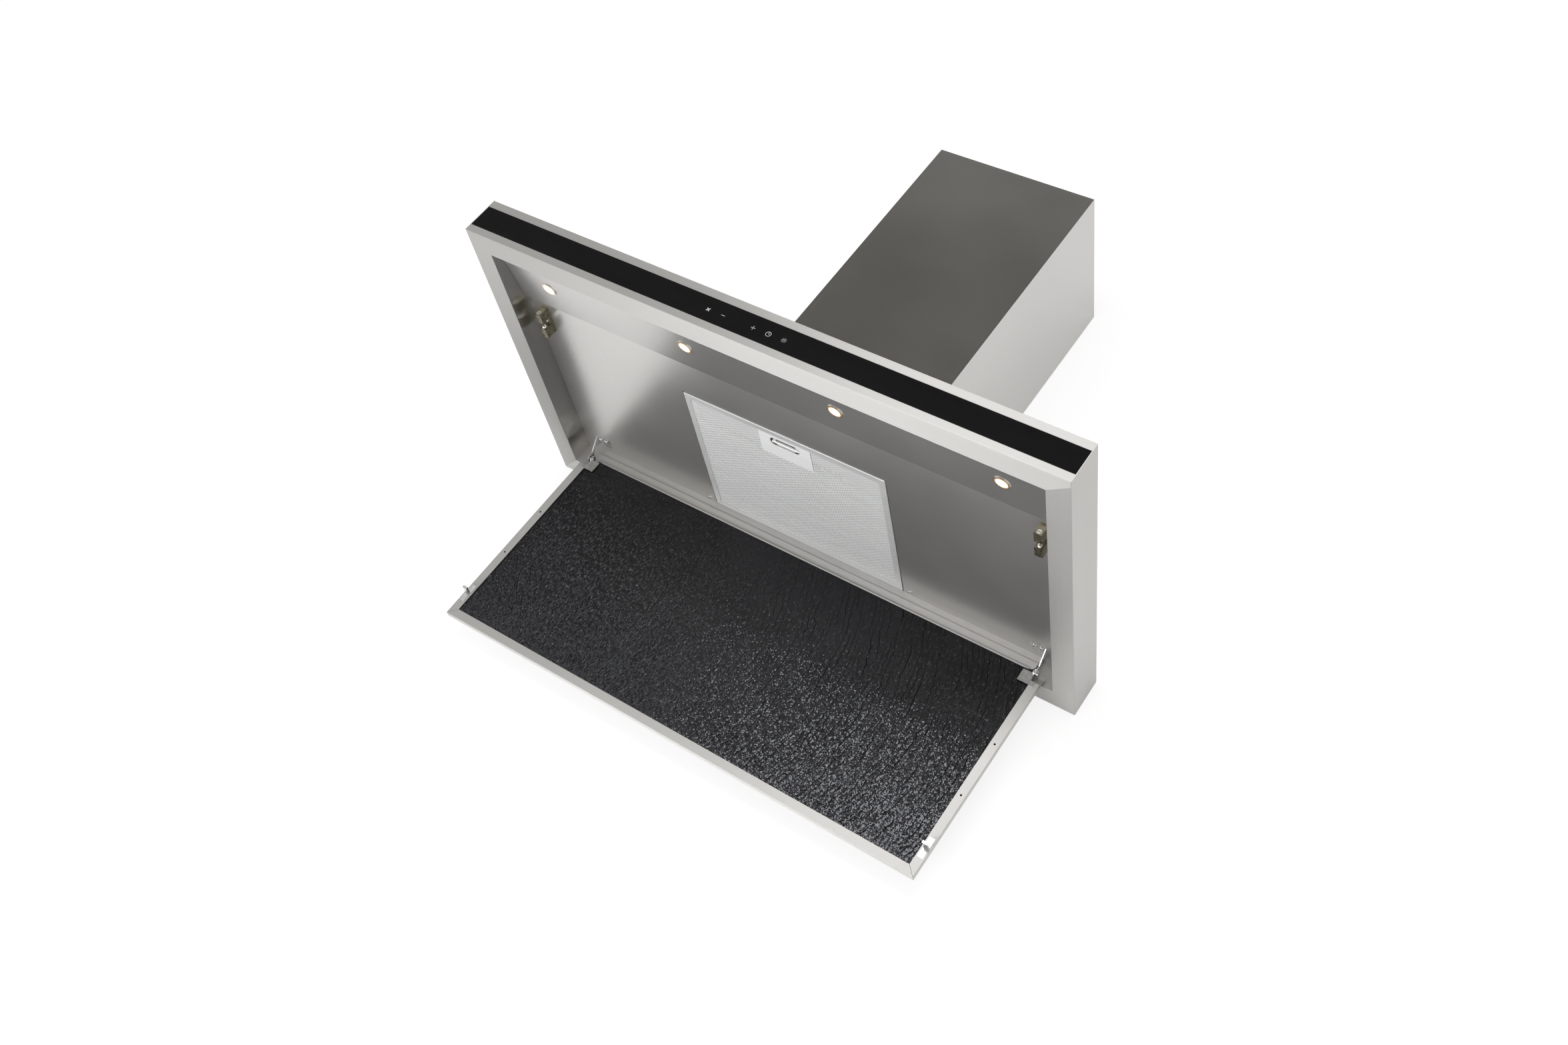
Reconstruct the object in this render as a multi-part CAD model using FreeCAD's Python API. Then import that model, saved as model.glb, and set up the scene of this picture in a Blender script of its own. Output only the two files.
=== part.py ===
import FreeCAD, Part
import math
import os

# Wall-mounted range hood with a hinged suction flap, shown with the flap hanging open.
# Millimetres. +X is the hood's right side seen from the front, +Y points into the wall, +Z is up.
# Heights below are taken from the canopy's underside and depths from the wall plane.
# On export everything is lowered so that the origin is the centre of the wall bolts.

V = FreeCAD.Vector
ORIGIN = V(0, 0, 0)
X_AXIS = V(1, 0, 0)
Y_AXIS = V(0, 1, 0)
Z_AXIS = V(0, 0, 1)

# Canopy box, folded from sheet
canopy_width = 900.0
canopy_depth = 508.0
canopy_height = 60.0
sheet = 1.0
fold_radius = 0.8
seat_gap = 0.2

# Wall fixing
bolt_height = 160.0
bolt_spacing_x = 204.0
bolt_spacing_z = 140.0
bolt_hole_radius = 4.5
wall_plate_thickness = 3.0
wall_plate_margin = 11.0

# Rails around the underside opening
side_rail_width = 33.0
front_rail_width = 34.5
rear_rail_width = 33.0
recess_height = 35.0

# Front fascia and its glass
lower_strip = 11.0
glass_height = 37.0
glass_thickness = 4.0
glass_edge = 0.4
fascia_return = 11.0
board_width = 150.0
board_height = 24.0
board_thickness = 1.6
board_offset_x = -7.0
board_window_margin = 4.0

# Sloped light strip between the front rail and the ceiling
strip_lip_height = 12.0
strip_rise = 15.5
strip_run = 101.5
riser_run = 12.0

# Lamps in the light strip
lamp_count = 4
lamp_pitch = 232.5
lamp_inset = 51.0
lamp_flange_radius = 11.5
lamp_flange = 1.2
lamp_can_radius = 10.0
lamp_can_height = 12.0
lens_radius = 8.2
lens_thickness = 3.0
lens_proud = 0.4
lens_clearance = 0.1

# Rear rail under the ceiling
rear_slot = 9.0
rear_band_inset = 34.0
rear_band_height = 23.0
rear_hem_height = 12.0
rear_hem_thickness = 1.0
rear_corner_radius = 6.0

# Flap, measured closed, and its hinge axis
flap_side_gap = 16.0
flap_front_overlap = 13.0
flap_height = 9.0
flap_sheet = 0.8
flap_lip = 13.0
flap_fold_radius = 0.7
flap_mitre_slit = 0.4
flap_mitre_angle = 135.0
flap_bottom = 1.0
flap_corner_length = 16.0
flap_corner_width = 25.0
flap_rear_reach = 2.0
flap_open_angle = 90.0
flap_hole_radius = 1.6
flap_hole_first = 121.0
flap_hole_pitch = 84.0
hinge_setback = 2.0
hinge_height = 9.0
pin_radius = 2.5
pin_clearance = 0.05
pin_head_radius = 4.2
pin_head = 1.8
pin_tail = 2.0

# Foam mat on the flap
foam_gap = 0.5
foam_below_lip = 1.0

# Hinge brackets
bracket_sheet = 1.2
bracket_inset = 11.0
bracket_tab_width = 25.5
bracket_tab_depth = 18.0
bracket_forward = 28.0
bracket_eye_radius = 6.0
bracket_toe = 8.0
bracket_knee = 11.0
ear_sheet = 1.6
ear_gap = 1.5
ear_eye_radius = 5.5
ear_base_sheet = 1.2
ear_base_width = 15.0
ear_base_length = 7.0

# Pan-head screws
screw_head_radius = 3.4
screw_head = 2.0
screw_head_round = 0.8
screw_radius = 1.7
screw_length = 7.0
screw_clearance = 0.1
screw_slot_length = 4.0
screw_slot_width = 0.9
screw_slot_depth = 1.0
hinge_screw_pitch = 10.5
hinge_screw_edge = 5.5
hinge_screw_setback = 4.5
ceiling_screw_offset = 12.0
ceiling_screw_setback = 8.0

# Double ball catches and their strikers
striker_inset = 42.0
striker_plate_length = 30.0
striker_plate_width = 8.0
striker_plate = 0.8
striker_height = 14.5
striker_neck = 2.4
striker_head = 3.6
striker_head_height = 2.6
rivet_radius = 1.4
rivet_head = 0.8
rivet_pitch = 20.0
catch_length = 46.0
catch_width = 11.0
catch_bottom = 17.3
catch_slot_width = 12.0
catch_slot_top = 29.5
catch_bore_height = 21.8
catch_ball_radius = 3.5
catch_ball_gap = 5.4
catch_clearance = 0.05
catch_plug_length = 6.0
catch_plug_slot = 1.0

# Grease filter cassette
filter_width = 326.0
filter_length = 250.0
filter_height = 9.0
filter_below_ceiling = 1.0
filter_rear_gap = 3.0
filter_opening_gap = 1.5
filter_wall = 1.2
filter_lip = 9.0
filter_fold_radius = 0.9
filter_mesh_sheet = 0.8
filter_lug_width = 30.0
filter_lug_reach = 6.0
filter_lug_thickness = 2.0
filter_lug_spacing = 200.0
handle_offset_x = 3.0
handle_width = 84.0
handle_length = 44.0
handle_sheet = 1.0
handle_land = 4.0
handle_slot_width = 48.0
handle_slot_length = 15.0
handle_slot_inset = 5.0

# Filter latch
latch_width = 30.0
latch_sheet = 1.5
latch_reach = 4.0
latch_rise = 1.3
latch_length = 37.0
latch_bar_radius = 1.8
latch_bar_length = 44.0
latch_bar_inset = 16.0
latch_tab_width = 8.0
latch_tab_height = 4.6
latch_spring_radius = 2.0
latch_spring_wire = 0.5
latch_spring_turns = 6

# Blower on top of the canopy
blower_width = 180.0
blower_depth = 232.0
blower_height = 250.0
blower_flange = 12.0
blower_screw_count = 3
blower_screw_margin = 15.0
air_hole_margin = 12.0
scroll_width = 140.0
scroll_radius = 95.0
scroll_wall = 1.5
scroll_lift = 25.0
scroll_rear_gap = 5.0
scroll_inlet_radius = 66.0
impeller_radius = 78.0
impeller_inner_radius = 64.0
impeller_width = 120.0
impeller_plate = 2.0
impeller_blades = 32
impeller_blade_thickness = 1.0
impeller_disc_offset = -7.0
hub_radius = 12.0
hub_length = 20.0
shaft_radius = 4.0
shaft_clearance = 0.05
shaft_length = 48.0
motor_radius = 44.0
motor_length = 62.0
motor_bore_depth = 24.0
spider_sheet = 3.0
spider_ring_width = 12.0
spider_arm_width = 14.0
spider_arms = 3

# Round outlet with two gravity dampers
collar_radius = 75.0
collar_wall = 3.0
collar_height = 60.0
collar_flange_width = 13.0
collar_flange = 2.0
damper_height = 35.0
damper_sheet = 1.2
damper_gap = 2.0
damper_ledge = 3.0
damper_ledge_height = 2.0
damper_seat_gap = 0.3
damper_pin_radius = 1.5
damper_pin_spacing = 8.0
damper_barrel_radius = 3.0
damper_barrel_length = 120.0
damper_clearance = 0.05

# Electrical parts
terminal_width = 80.0
terminal_depth = 30.0
terminal_height = 40.0
terminal_inset = 5.0
gland_radius = 8.0
gland_height = 18.0
gland_bore_radius = 4.0
gland_nut_radius = 11.0
gland_nut = 6.0
driver_length = 100.0
driver_width = 40.0
driver_height = 18.0
driver_inset = 160.0
driver_offset_y = 70.0

# Chimney cover
chimney_width = 262.0
chimney_depth = 248.0
chimney_top = 647.0
chimney_flange = 15.0
chimney_notch = 18.0
chimney_bracket_height = 32.0
chimney_bracket_drop = 40.0
chimney_bracket_sheet = 2.0
chimney_bracket_ear = 30.0
chimney_bolt_spacing = 160.0
chimney_bolt_radius = 3.0

# Places worked out from the sizes above
half_width = canopy_width / 2
front_y = -canopy_depth
opening_x = half_width - side_rail_width
opening_front_y = front_y + front_rail_width
opening_rear_y = -rear_rail_width
fascia_rear_y = front_y + fascia_return
ceiling_front_y = opening_front_y + strip_run + riser_run
ceiling_top = recess_height + sheet
strip_slope = math.degrees(math.atan2(strip_rise, strip_run))
rear_band_half_width = opening_x - rear_band_inset
rear_band_y = opening_rear_y - rear_slot
hinge_y = rear_band_y - hinge_setback
flap_x = opening_x - flap_side_gap
flap_front_y = ceiling_front_y - flap_front_overlap
flap_rear_y = hinge_y + flap_rear_reach
flap_rim_z = flap_bottom + flap_height
flap_corner_x = flap_x - flap_corner_width
flap_corner_y = flap_rear_y - flap_corner_length
arm_outer_x = flap_x - bracket_inset
arm_inner_x = arm_outer_x - bracket_sheet
ear_outer_x = arm_inner_x - ear_gap
ear_inner_x = ear_outer_x - ear_sheet
striker_x = flap_x - flap_lip / 2
striker_y = flap_front_y + striker_inset
ball_y = catch_ball_gap / 2 + catch_ball_radius
filter_rear_y = rear_band_y - filter_rear_gap
filter_front_y = filter_rear_y - filter_length
filter_x = filter_width / 2
filter_bottom = recess_height - filter_below_ceiling
filter_top = filter_bottom + filter_height
mesh_bottom = filter_bottom + filter_wall
handle_front_y = filter_front_y + filter_lip
handle_rear_y = handle_front_y + handle_length
latch_bottom = recess_height + latch_rise
latch_front_y = filter_front_y - latch_reach
latch_rear_y = latch_front_y + latch_length
box_x = blower_width / 2
box_rear_y = -wall_plate_thickness
box_front_y = box_rear_y - blower_depth
box_top = canopy_height + blower_height
scroll_x = scroll_width / 2
collar_inner_radius = collar_radius - collar_wall
scroll_y = box_rear_y - sheet - scroll_rear_gap - scroll_radius
collar_y = scroll_y - scroll_radius + scroll_width / 2
scroll_z = canopy_height + scroll_lift + scroll_radius
collar_bottom = box_top
damper_z = collar_bottom + damper_height
driver_x = half_width - driver_inset
chimney_x = chimney_width / 2
chimney_bracket_top = chimney_top - chimney_bracket_drop


def block(x0, x1, y0, y1, z0, z1):
    """Box between two corners."""
    return Part.makeBox(x1 - x0, y1 - y0, z1 - z0, V(x0, y0, z0))


def prism_x(points, x0, x1):
    """Outline of (y, z) points drawn out along X."""
    corners = [V(x0, y, z) for y, z in points]
    face = Part.Face(Part.makePolygon(corners + corners[:1]))
    return face.extrude(V(x1 - x0, 0, 0))


def prism_z(points, z0, z1):
    """Outline of (x, y) points drawn up along Z."""
    corners = [V(x, y, z0) for x, y in points]
    face = Part.Face(Part.makePolygon(corners + corners[:1]))
    return face.extrude(V(0, 0, z1 - z0))


def rod_x(x0, x1, y, z, radius):
    """Round bar along X."""
    return Part.makeCylinder(radius, x1 - x0, V(x0, y, z), X_AXIS)


def rod_y(y0, y1, x, z, radius):
    """Round bar along Y."""
    return Part.makeCylinder(radius, y1 - y0, V(x, y0, z), Y_AXIS)


def rod_z(z0, z1, x, y, radius):
    """Round bar along Z."""
    return Part.makeCylinder(radius, z1 - z0, V(x, y, z0), Z_AXIS)


def joined(shapes):
    """One solid from touching shapes."""
    return shapes[0].multiFuse(shapes[1:]).removeSplitter()


def less(shape, cutters):
    """Shape with every cutter taken away."""
    return shape.cut(cutters)


def mirrored(shape):
    """Left-hand twin of a right-hand shape."""
    return shape.mirror(ORIGIN, X_AXIS)


def opened(shape):
    """Flap piece turned from its closed place to the hanging one."""
    return shape.rotated(V(0, hinge_y, hinge_height), X_AXIS, flap_open_angle)


def rounded_edges(shape, radius, along, wanted):
    """Fillet on the straight edges along one axis whose end points all satisfy a test."""
    edges = []
    for edge in shape.Edges:
        ends = [vertex.Point for vertex in edge.Vertexes]
        span = ends[-1].sub(ends[0])
        if span.Length > 0 and near(span.cross(along).Length, 0) and all(wanted(end) for end in ends):
            edges.append(edge)
    return shape.makeFillet(radius, edges)


def rounded_rim(shape, radius, height):
    """Fillet on the round edges that lie at one height."""
    edges = []
    for edge in shape.Edges:
        if near(edge.BoundBox.ZMin, height) and near(edge.BoundBox.ZMax, height):
            edges.append(edge)
    return shape.makeFillet(radius, edges)


def near(a, b):
    """Equal sizes."""
    return math.isclose(a, b, abs_tol=seat_gap / 2)


def save(name, shape):
    """Writes one named piece with the wall bolts' centre as origin."""
    placed = shape.translated(V(0, 0, -bolt_height))
    if not placed.isValid():
        raise ValueError("bad solid in " + name)
    placed.exportStep("parts/" + name + ".step")


def pan_screw(x, y, seat_z, sheet_below):
    """Pan-head screw whose head hangs under a sheet, with a cross recess."""
    head_bottom = seat_z - sheet_below - screw_head
    head = rod_z(head_bottom, head_bottom + screw_head, x, y, screw_head_radius)
    head = rounded_rim(head, screw_head_round, head_bottom)
    shank = rod_z(head_bottom + screw_head, head_bottom + screw_head + screw_length, x, y, screw_radius)
    half_length = screw_slot_length / 2
    half_width_slot = screw_slot_width / 2
    slot_top = head_bottom + screw_slot_depth
    slot_a = block(x - half_length, x + half_length, y - half_width_slot, y + half_width_slot,
                   head_bottom - screw_head, slot_top)
    slot_b = block(x - half_width_slot, x + half_width_slot, y - half_length, y + half_length,
                   head_bottom - screw_head, slot_top)
    return less(joined([head, shank]), [slot_a, slot_b])


def screw_hole(x, y, z0, z1):
    """Clearance hole for a pan-head screw."""
    return rod_z(z0, z1, x, y, screw_radius + screw_clearance)


def hinge_screw_places():
    """Screw centres on the right-hand hinge tab."""
    y = hinge_y - bracket_forward + hinge_screw_setback
    outer = arm_outer_x - bracket_sheet - hinge_screw_edge
    return [(outer, y), (outer - hinge_screw_pitch, y)]


def ceiling_screw_places():
    """Screw centres beside the filter's rear corners."""
    x = filter_x + ceiling_screw_offset
    y = rear_band_y - ceiling_screw_setback
    return [(x, y), (-x, y)]


def blower_screw_places():
    """Screw centres on both flanges of the blower box."""
    first = box_front_y + blower_screw_margin
    pitch = (blower_depth - 2 * blower_screw_margin) / (blower_screw_count - 1)
    x = box_x + blower_flange / 2
    return [(side * x, first + pitch * i) for side in (1, -1) for i in range(blower_screw_count)]


def lamp_places():
    """Lamp centres across the light strip."""
    return [lamp_pitch * (i - (lamp_count - 1) / 2) for i in range(lamp_count)]


def on_strip(shape, x):
    """Lamp piece drawn about the origin, set square to the sloped strip."""
    y = opening_front_y + lamp_inset
    z = strip_lip_height + lamp_inset * strip_rise / strip_run
    return shape.rotated(ORIGIN, X_AXIS, strip_slope).translated(V(x, y, z))


def canopy_shell():
    """Top, sides and back of the canopy, open at the front and underneath."""
    shell = block(-half_width, half_width, front_y, 0, 0, canopy_height)
    shell = rounded_edges(shell, fold_radius, Y_AXIS, lambda point: near(abs(point.x), half_width))
    inner_x = half_width - sheet
    inside = block(-inner_x, inner_x, front_y - sheet, -sheet, -sheet, canopy_height - sheet)
    fascia_gap = block(-inner_x, inner_x, front_y - sheet, fascia_rear_y, -sheet, canopy_height + sheet)
    air_x = box_x - air_hole_margin
    air_hole = block(-air_x, air_x, box_front_y + air_hole_margin, box_rear_y - air_hole_margin,
                     0, canopy_height + sheet)
    holes = [screw_hole(x, y, 0, canopy_height + sheet) for x, y in blower_screw_places()]
    return less(shell, [inside, fascia_gap, air_hole] + holes)


def side_rail():
    """Right-hand underside rail, mitred, with the recess wall folded up from it."""
    outer_x = half_width - sheet
    flat = prism_z([(opening_x, opening_front_y), (outer_x, fascia_rear_y), (outer_x, -sheet),
                    (opening_x, opening_rear_y)], 0, sheet)
    wall = block(opening_x, opening_x + sheet, opening_front_y, opening_rear_y, 0, recess_height)
    return rounded_edges(joined([flat, wall]), fold_radius, Y_AXIS,
                         lambda point: near(point.x, opening_x) and near(point.z, 0))


def front_rail():
    """Front underside rail with the low lip that carries the light strip."""
    outer_x = half_width - sheet
    flat = prism_z([(-opening_x, opening_front_y), (opening_x, opening_front_y),
                    (outer_x, fascia_rear_y), (-outer_x, fascia_rear_y)], 0, sheet)
    wall = block(-opening_x, opening_x, opening_front_y - sheet, opening_front_y, 0, strip_lip_height)
    return rounded_edges(joined([flat, wall]), fold_radius, X_AXIS,
                         lambda point: near(point.y, opening_front_y) and near(point.z, 0))


def rear_rail():
    """Rear underside rail with the recess's back wall."""
    outer_x = half_width - sheet
    flat = prism_z([(-opening_x, opening_rear_y), (opening_x, opening_rear_y),
                    (outer_x, -sheet), (-outer_x, -sheet)], 0, sheet)
    wall = block(-opening_x, opening_x, opening_rear_y, opening_rear_y + sheet, 0, recess_height)
    return rounded_edges(joined([flat, wall]), fold_radius, X_AXIS,
                         lambda point: near(point.y, opening_rear_y) and near(point.z, 0))


def front_fascia():
    """Folded front with an upper and a lower strip and a set-back web behind the glass."""
    end_x = half_width - sheet
    glass_bottom = lower_strip
    glass_top = lower_strip + glass_height
    web_y = front_y + glass_thickness + seat_gap
    pieces = [
        block(-end_x, end_x, front_y, front_y + sheet, 0, glass_bottom),
        block(-end_x, end_x, front_y, web_y + sheet, glass_bottom - sheet, glass_bottom),
        block(-end_x, end_x, web_y, web_y + sheet, glass_bottom - sheet, glass_top + sheet),
        block(-end_x, end_x, front_y, web_y + sheet, glass_top, glass_top + sheet),
        block(-end_x, end_x, front_y, front_y + sheet, glass_top, canopy_height),
        block(-end_x, end_x, front_y, fascia_rear_y, canopy_height - sheet, canopy_height),
        block(-end_x, end_x, front_y, fascia_rear_y, 0, sheet),
    ]
    fascia = joined(pieces)
    fascia = rounded_edges(fascia, fold_radius, X_AXIS, lambda point: near(point.y, front_y)
                           and (near(point.z, 0) or near(point.z, canopy_height)))
    window_x = board_width / 2 + board_window_margin
    window_z = board_height / 2 + board_window_margin
    middle = lower_strip + glass_height / 2
    window = block(board_offset_x - window_x, board_offset_x + window_x, front_y, fascia_rear_y,
                   middle - window_z, middle + window_z)
    return less(fascia, [window])


def control_glass():
    """Black touch glass set flush between the two strips."""
    end_x = half_width - sheet - seat_gap
    bottom = lower_strip + seat_gap
    top = lower_strip + glass_height - seat_gap
    glass = block(-end_x, end_x, front_y, front_y + glass_thickness, bottom, top)
    return rounded_edges(glass, glass_edge, X_AXIS, lambda point: near(point.y, front_y))


def control_board():
    """Touch circuit board bonded to the back of the glass."""
    back = front_y + glass_thickness
    middle = lower_strip + glass_height / 2
    return block(board_offset_x - board_width / 2, board_offset_x + board_width / 2,
                 back, back + board_thickness, middle - board_height / 2, middle + board_height / 2)


def light_strip():
    """Sloped strip with the lamp holes, folded up to the ceiling at its rear edge."""
    strip_top = strip_lip_height + strip_rise
    profile = [
        (opening_front_y - sheet, strip_lip_height), (opening_front_y, strip_lip_height),
        (opening_front_y + strip_run, strip_top), (ceiling_front_y, recess_height),
        (ceiling_front_y, recess_height + sheet), (opening_front_y + strip_run, strip_top + sheet),
        (opening_front_y, strip_lip_height + sheet), (opening_front_y - sheet, strip_lip_height + sheet),
    ]
    end_x = opening_x - seat_gap
    cutter = rod_z(-lamp_can_height, lamp_can_height, 0, 0, lamp_can_radius + seat_gap)
    return less(prism_x(profile, -end_x, end_x), [on_strip(cutter, x) for x in lamp_places()])


def lamp_body():
    """Flanged can of one lamp, drawn about the origin with its face downwards."""
    flange = rod_z(-lamp_flange, 0, 0, 0, lamp_flange_radius)
    can = rod_z(0, lamp_can_height, 0, 0, lamp_can_radius)
    mouth = rod_z(-lamp_flange, lens_thickness, 0, 0, lens_radius + lens_clearance)
    return less(joined([flange, can]), [mouth])


def lamp_lens():
    """Frosted lens of one lamp, standing a little proud of its flange."""
    bottom = -lamp_flange - lens_proud
    lens = rod_z(bottom, bottom + lens_thickness, 0, 0, lens_radius)
    return rounded_rim(lens, lens_proud, bottom)


def ceiling_plate():
    """Ceiling of the recess with the filter opening and its screw holes."""
    plate = block(-opening_x - sheet, opening_x + sheet, ceiling_front_y, opening_rear_y + sheet,
                  recess_height, ceiling_top)
    open_x = filter_x + filter_opening_gap
    opening = block(-open_x, open_x, filter_front_y - filter_opening_gap,
                    filter_rear_y + filter_opening_gap, 0, canopy_height)
    places = ceiling_screw_places() + [(striker_x, striker_y), (-striker_x, striker_y)]
    for x, y in hinge_screw_places():
        places += [(x, y), (-x, y)]
    return less(plate, [opening] + [screw_hole(x, y, 0, canopy_height) for x, y in places])


def rear_band():
    """Hemmed band standing down from the ceiling behind the filter."""
    bottom = recess_height - rear_band_height
    wide = rear_band_half_width
    web = block(-wide, wide, rear_band_y, rear_band_y + sheet, bottom, recess_height)
    hem = block(-wide, wide, rear_band_y - rear_hem_thickness, rear_band_y,
                bottom, bottom + rear_hem_height)
    layers = []
    for layer in (web, hem):
        layers.append(rounded_edges(layer, rear_corner_radius, Y_AXIS, lambda point: near(point.z, bottom)))
    return joined(layers)


def flap_tray():
    """Folded tray of the flap with turned-in lips, cut away at the hinge corners."""
    floor = block(-flap_x, flap_x, flap_front_y, flap_rear_y, flap_bottom, flap_bottom + flap_sheet)
    tray = [floor]
    lip_bottom = flap_rim_z - flap_sheet
    tray.append(block(-flap_x, flap_x, flap_front_y, flap_front_y + flap_sheet, flap_bottom, flap_rim_z))
    tray.append(block(-flap_x, flap_x, flap_front_y, flap_front_y + flap_lip, lip_bottom, flap_rim_z))
    tray.append(block(-flap_corner_x, flap_corner_x, flap_rear_y - flap_sheet, flap_rear_y,
                      flap_bottom, flap_rim_z))
    wall = block(flap_x - flap_sheet, flap_x, flap_front_y, flap_corner_y, flap_bottom, flap_rim_z)
    lip = block(flap_x - flap_lip, flap_x, flap_front_y, flap_corner_y, lip_bottom, flap_rim_z)
    tray += [wall, lip, mirrored(wall), mirrored(lip)]
    tray = joined(tray)
    tray = rounded_edges(tray, flap_fold_radius, Y_AXIS, lambda point: near(abs(point.x), flap_x)
                         and (near(point.z, flap_bottom) or near(point.z, flap_rim_z)))
    tray = rounded_edges(tray, flap_fold_radius, X_AXIS, lambda point: near(point.y, flap_front_y))
    slit = block(0, flap_lip * math.sqrt(2), -flap_mitre_slit / 2, flap_mitre_slit / 2,
                 lip_bottom - flap_sheet, flap_rim_z + flap_sheet)
    slit = slit.rotated(ORIGIN, Z_AXIS, flap_mitre_angle)
    slit = slit.translated(V(flap_x - flap_sheet, flap_front_y + flap_sheet, 0))
    holes = [slit, mirrored(slit)]
    for i in range(2):
        y = flap_rear_y - flap_hole_first - flap_hole_pitch * i
        for x in (striker_x, -striker_x):
            holes.append(rod_z(lip_bottom - flap_sheet, flap_rim_z + flap_sheet, x, y, flap_hole_radius))
    return less(tray, holes)


def foam_mat():
    """Acoustic mat filling the tray, notched at the hinge corners."""
    mat_x = flap_x - flap_sheet - foam_gap
    front = flap_front_y + flap_sheet + foam_gap
    rear = flap_rear_y - flap_sheet - foam_gap
    bottom = flap_bottom + flap_sheet
    top = flap_rim_z - flap_sheet - foam_below_lip
    notch_x = flap_corner_x - foam_gap
    notch_y = flap_corner_y - foam_gap
    outline = [(-mat_x, front), (mat_x, front), (mat_x, notch_y), (notch_x, notch_y), (notch_x, rear),
               (-notch_x, rear), (-notch_x, notch_y), (-mat_x, notch_y)]
    return prism_z(outline, bottom, top)


def hinge_bracket():
    """Right-hand bracket: a tab under the ceiling and an arm down to the pin."""
    tab_front = hinge_y - bracket_forward
    tab_rear = tab_front + bracket_tab_depth
    tab = block(arm_outer_x - bracket_tab_width, arm_outer_x, tab_front, tab_rear,
                recess_height - bracket_sheet, recess_height)
    low = hinge_height - bracket_eye_radius
    high = hinge_height + bracket_eye_radius
    arm = prism_x([(tab_front, recess_height), (hinge_y - bracket_knee, high), (hinge_y - bracket_toe, low),
                   (hinge_y, low), (hinge_y, high), (tab_rear, high + bracket_eye_radius),
                   (tab_rear, recess_height)], arm_inner_x, arm_outer_x)
    eye = rod_x(arm_inner_x, arm_outer_x, hinge_y, hinge_height, bracket_eye_radius)
    bore = rod_x(0, flap_x, hinge_y, hinge_height, pin_radius + pin_clearance)
    holes = [screw_hole(x, y, 0, canopy_height) for x, y in hinge_screw_places()]
    return less(joined([tab, arm, eye]), [bore] + holes)


def hinge_pin():
    """Right-hand hinge pin with its head against the bracket arm."""
    shank = rod_x(ear_inner_x - pin_tail, arm_outer_x, hinge_y, hinge_height, pin_radius)
    head = rod_x(arm_outer_x, arm_outer_x + pin_head, hinge_y, hinge_height, pin_head_radius)
    return joined([shank, head])


def flap_ear():
    """Right-hand ear of the flap: a foot on the lip, and a cheek that turns on the pin."""
    top = flap_rim_z + ear_base_sheet
    foot_front = flap_corner_y - ear_base_length
    foot = block(ear_inner_x - ear_base_width, flap_x - flap_lip / 2, foot_front, flap_corner_y,
                 flap_rim_z, top)
    tongue = block(ear_inner_x - ear_base_width, ear_outer_x, foot_front, hinge_y - pin_radius,
                   flap_rim_z, top)
    cheek = block(ear_inner_x, ear_outer_x, flap_corner_y, hinge_y,
                  hinge_height - pin_radius, top)
    eye = rod_x(ear_inner_x, ear_outer_x, hinge_y, hinge_height, ear_eye_radius)
    bore = rod_x(0, flap_x, hinge_y, hinge_height, pin_radius + pin_clearance)
    return less(joined([foot, tongue, cheek, eye]), [bore])


def striker():
    """Right-hand striker: a riveted plate on the lip with an arrow-headed tongue."""
    half_plate = striker_plate_width / 2
    base_top = flap_rim_z + striker_plate
    tip = base_top + striker_height
    plate = block(striker_x - half_plate, striker_x + half_plate, striker_y - striker_plate_length / 2,
                  striker_y + striker_plate_length / 2, flap_rim_z, base_top)
    neck = block(striker_x - half_plate, striker_x + half_plate, striker_y - striker_neck / 2,
                 striker_y + striker_neck / 2, flap_rim_z, tip)
    head = block(striker_x - half_plate, striker_x + half_plate, striker_y - striker_head / 2,
                 striker_y + striker_head / 2, tip - striker_head_height, tip)
    pieces = [plate, neck, head]
    for side in (1, -1):
        y = striker_y + side * rivet_pitch / 2
        pieces.append(rod_z(base_top, base_top + rivet_head, striker_x, y, rivet_radius))
    return joined(pieces)


def catch_body():
    """Right-hand double ball catch body, slotted for the striker and bored for the balls."""
    half = catch_width / 2
    body = block(striker_x - half, striker_x + half, striker_y - catch_length / 2,
                 striker_y + catch_length / 2, catch_bottom, recess_height)
    slot = block(striker_x - catch_width, striker_x + catch_width, striker_y - catch_slot_width / 2,
                 striker_y + catch_slot_width / 2, 0, catch_slot_top)
    bore = rod_y(striker_y - catch_length, striker_y + catch_length, striker_x, catch_bore_height,
                 catch_ball_radius + catch_clearance)
    hole = screw_hole(striker_x, striker_y, 0, canopy_height)
    return less(body, [slot, bore, hole])


def catch_ball(side):
    """One sprung ball of the right-hand catch, in front of or behind the striker."""
    return Part.makeSphere(catch_ball_radius, V(striker_x, striker_y + side * ball_y, catch_bore_height))


def catch_plug(side):
    """Slotted plug that closes one end of the right-hand catch's bore."""
    end = striker_y + side * catch_length / 2
    low = min(end, end - side * catch_plug_length)
    plug = rod_y(low, low + catch_plug_length, striker_x, catch_bore_height, catch_ball_radius)
    slot = block(striker_x - catch_width, striker_x + catch_width, end - catch_plug_slot,
                 end + catch_plug_slot, catch_bore_height - catch_plug_slot / 2,
                 catch_bore_height + catch_plug_slot / 2)
    return less(plug, [slot])


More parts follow.
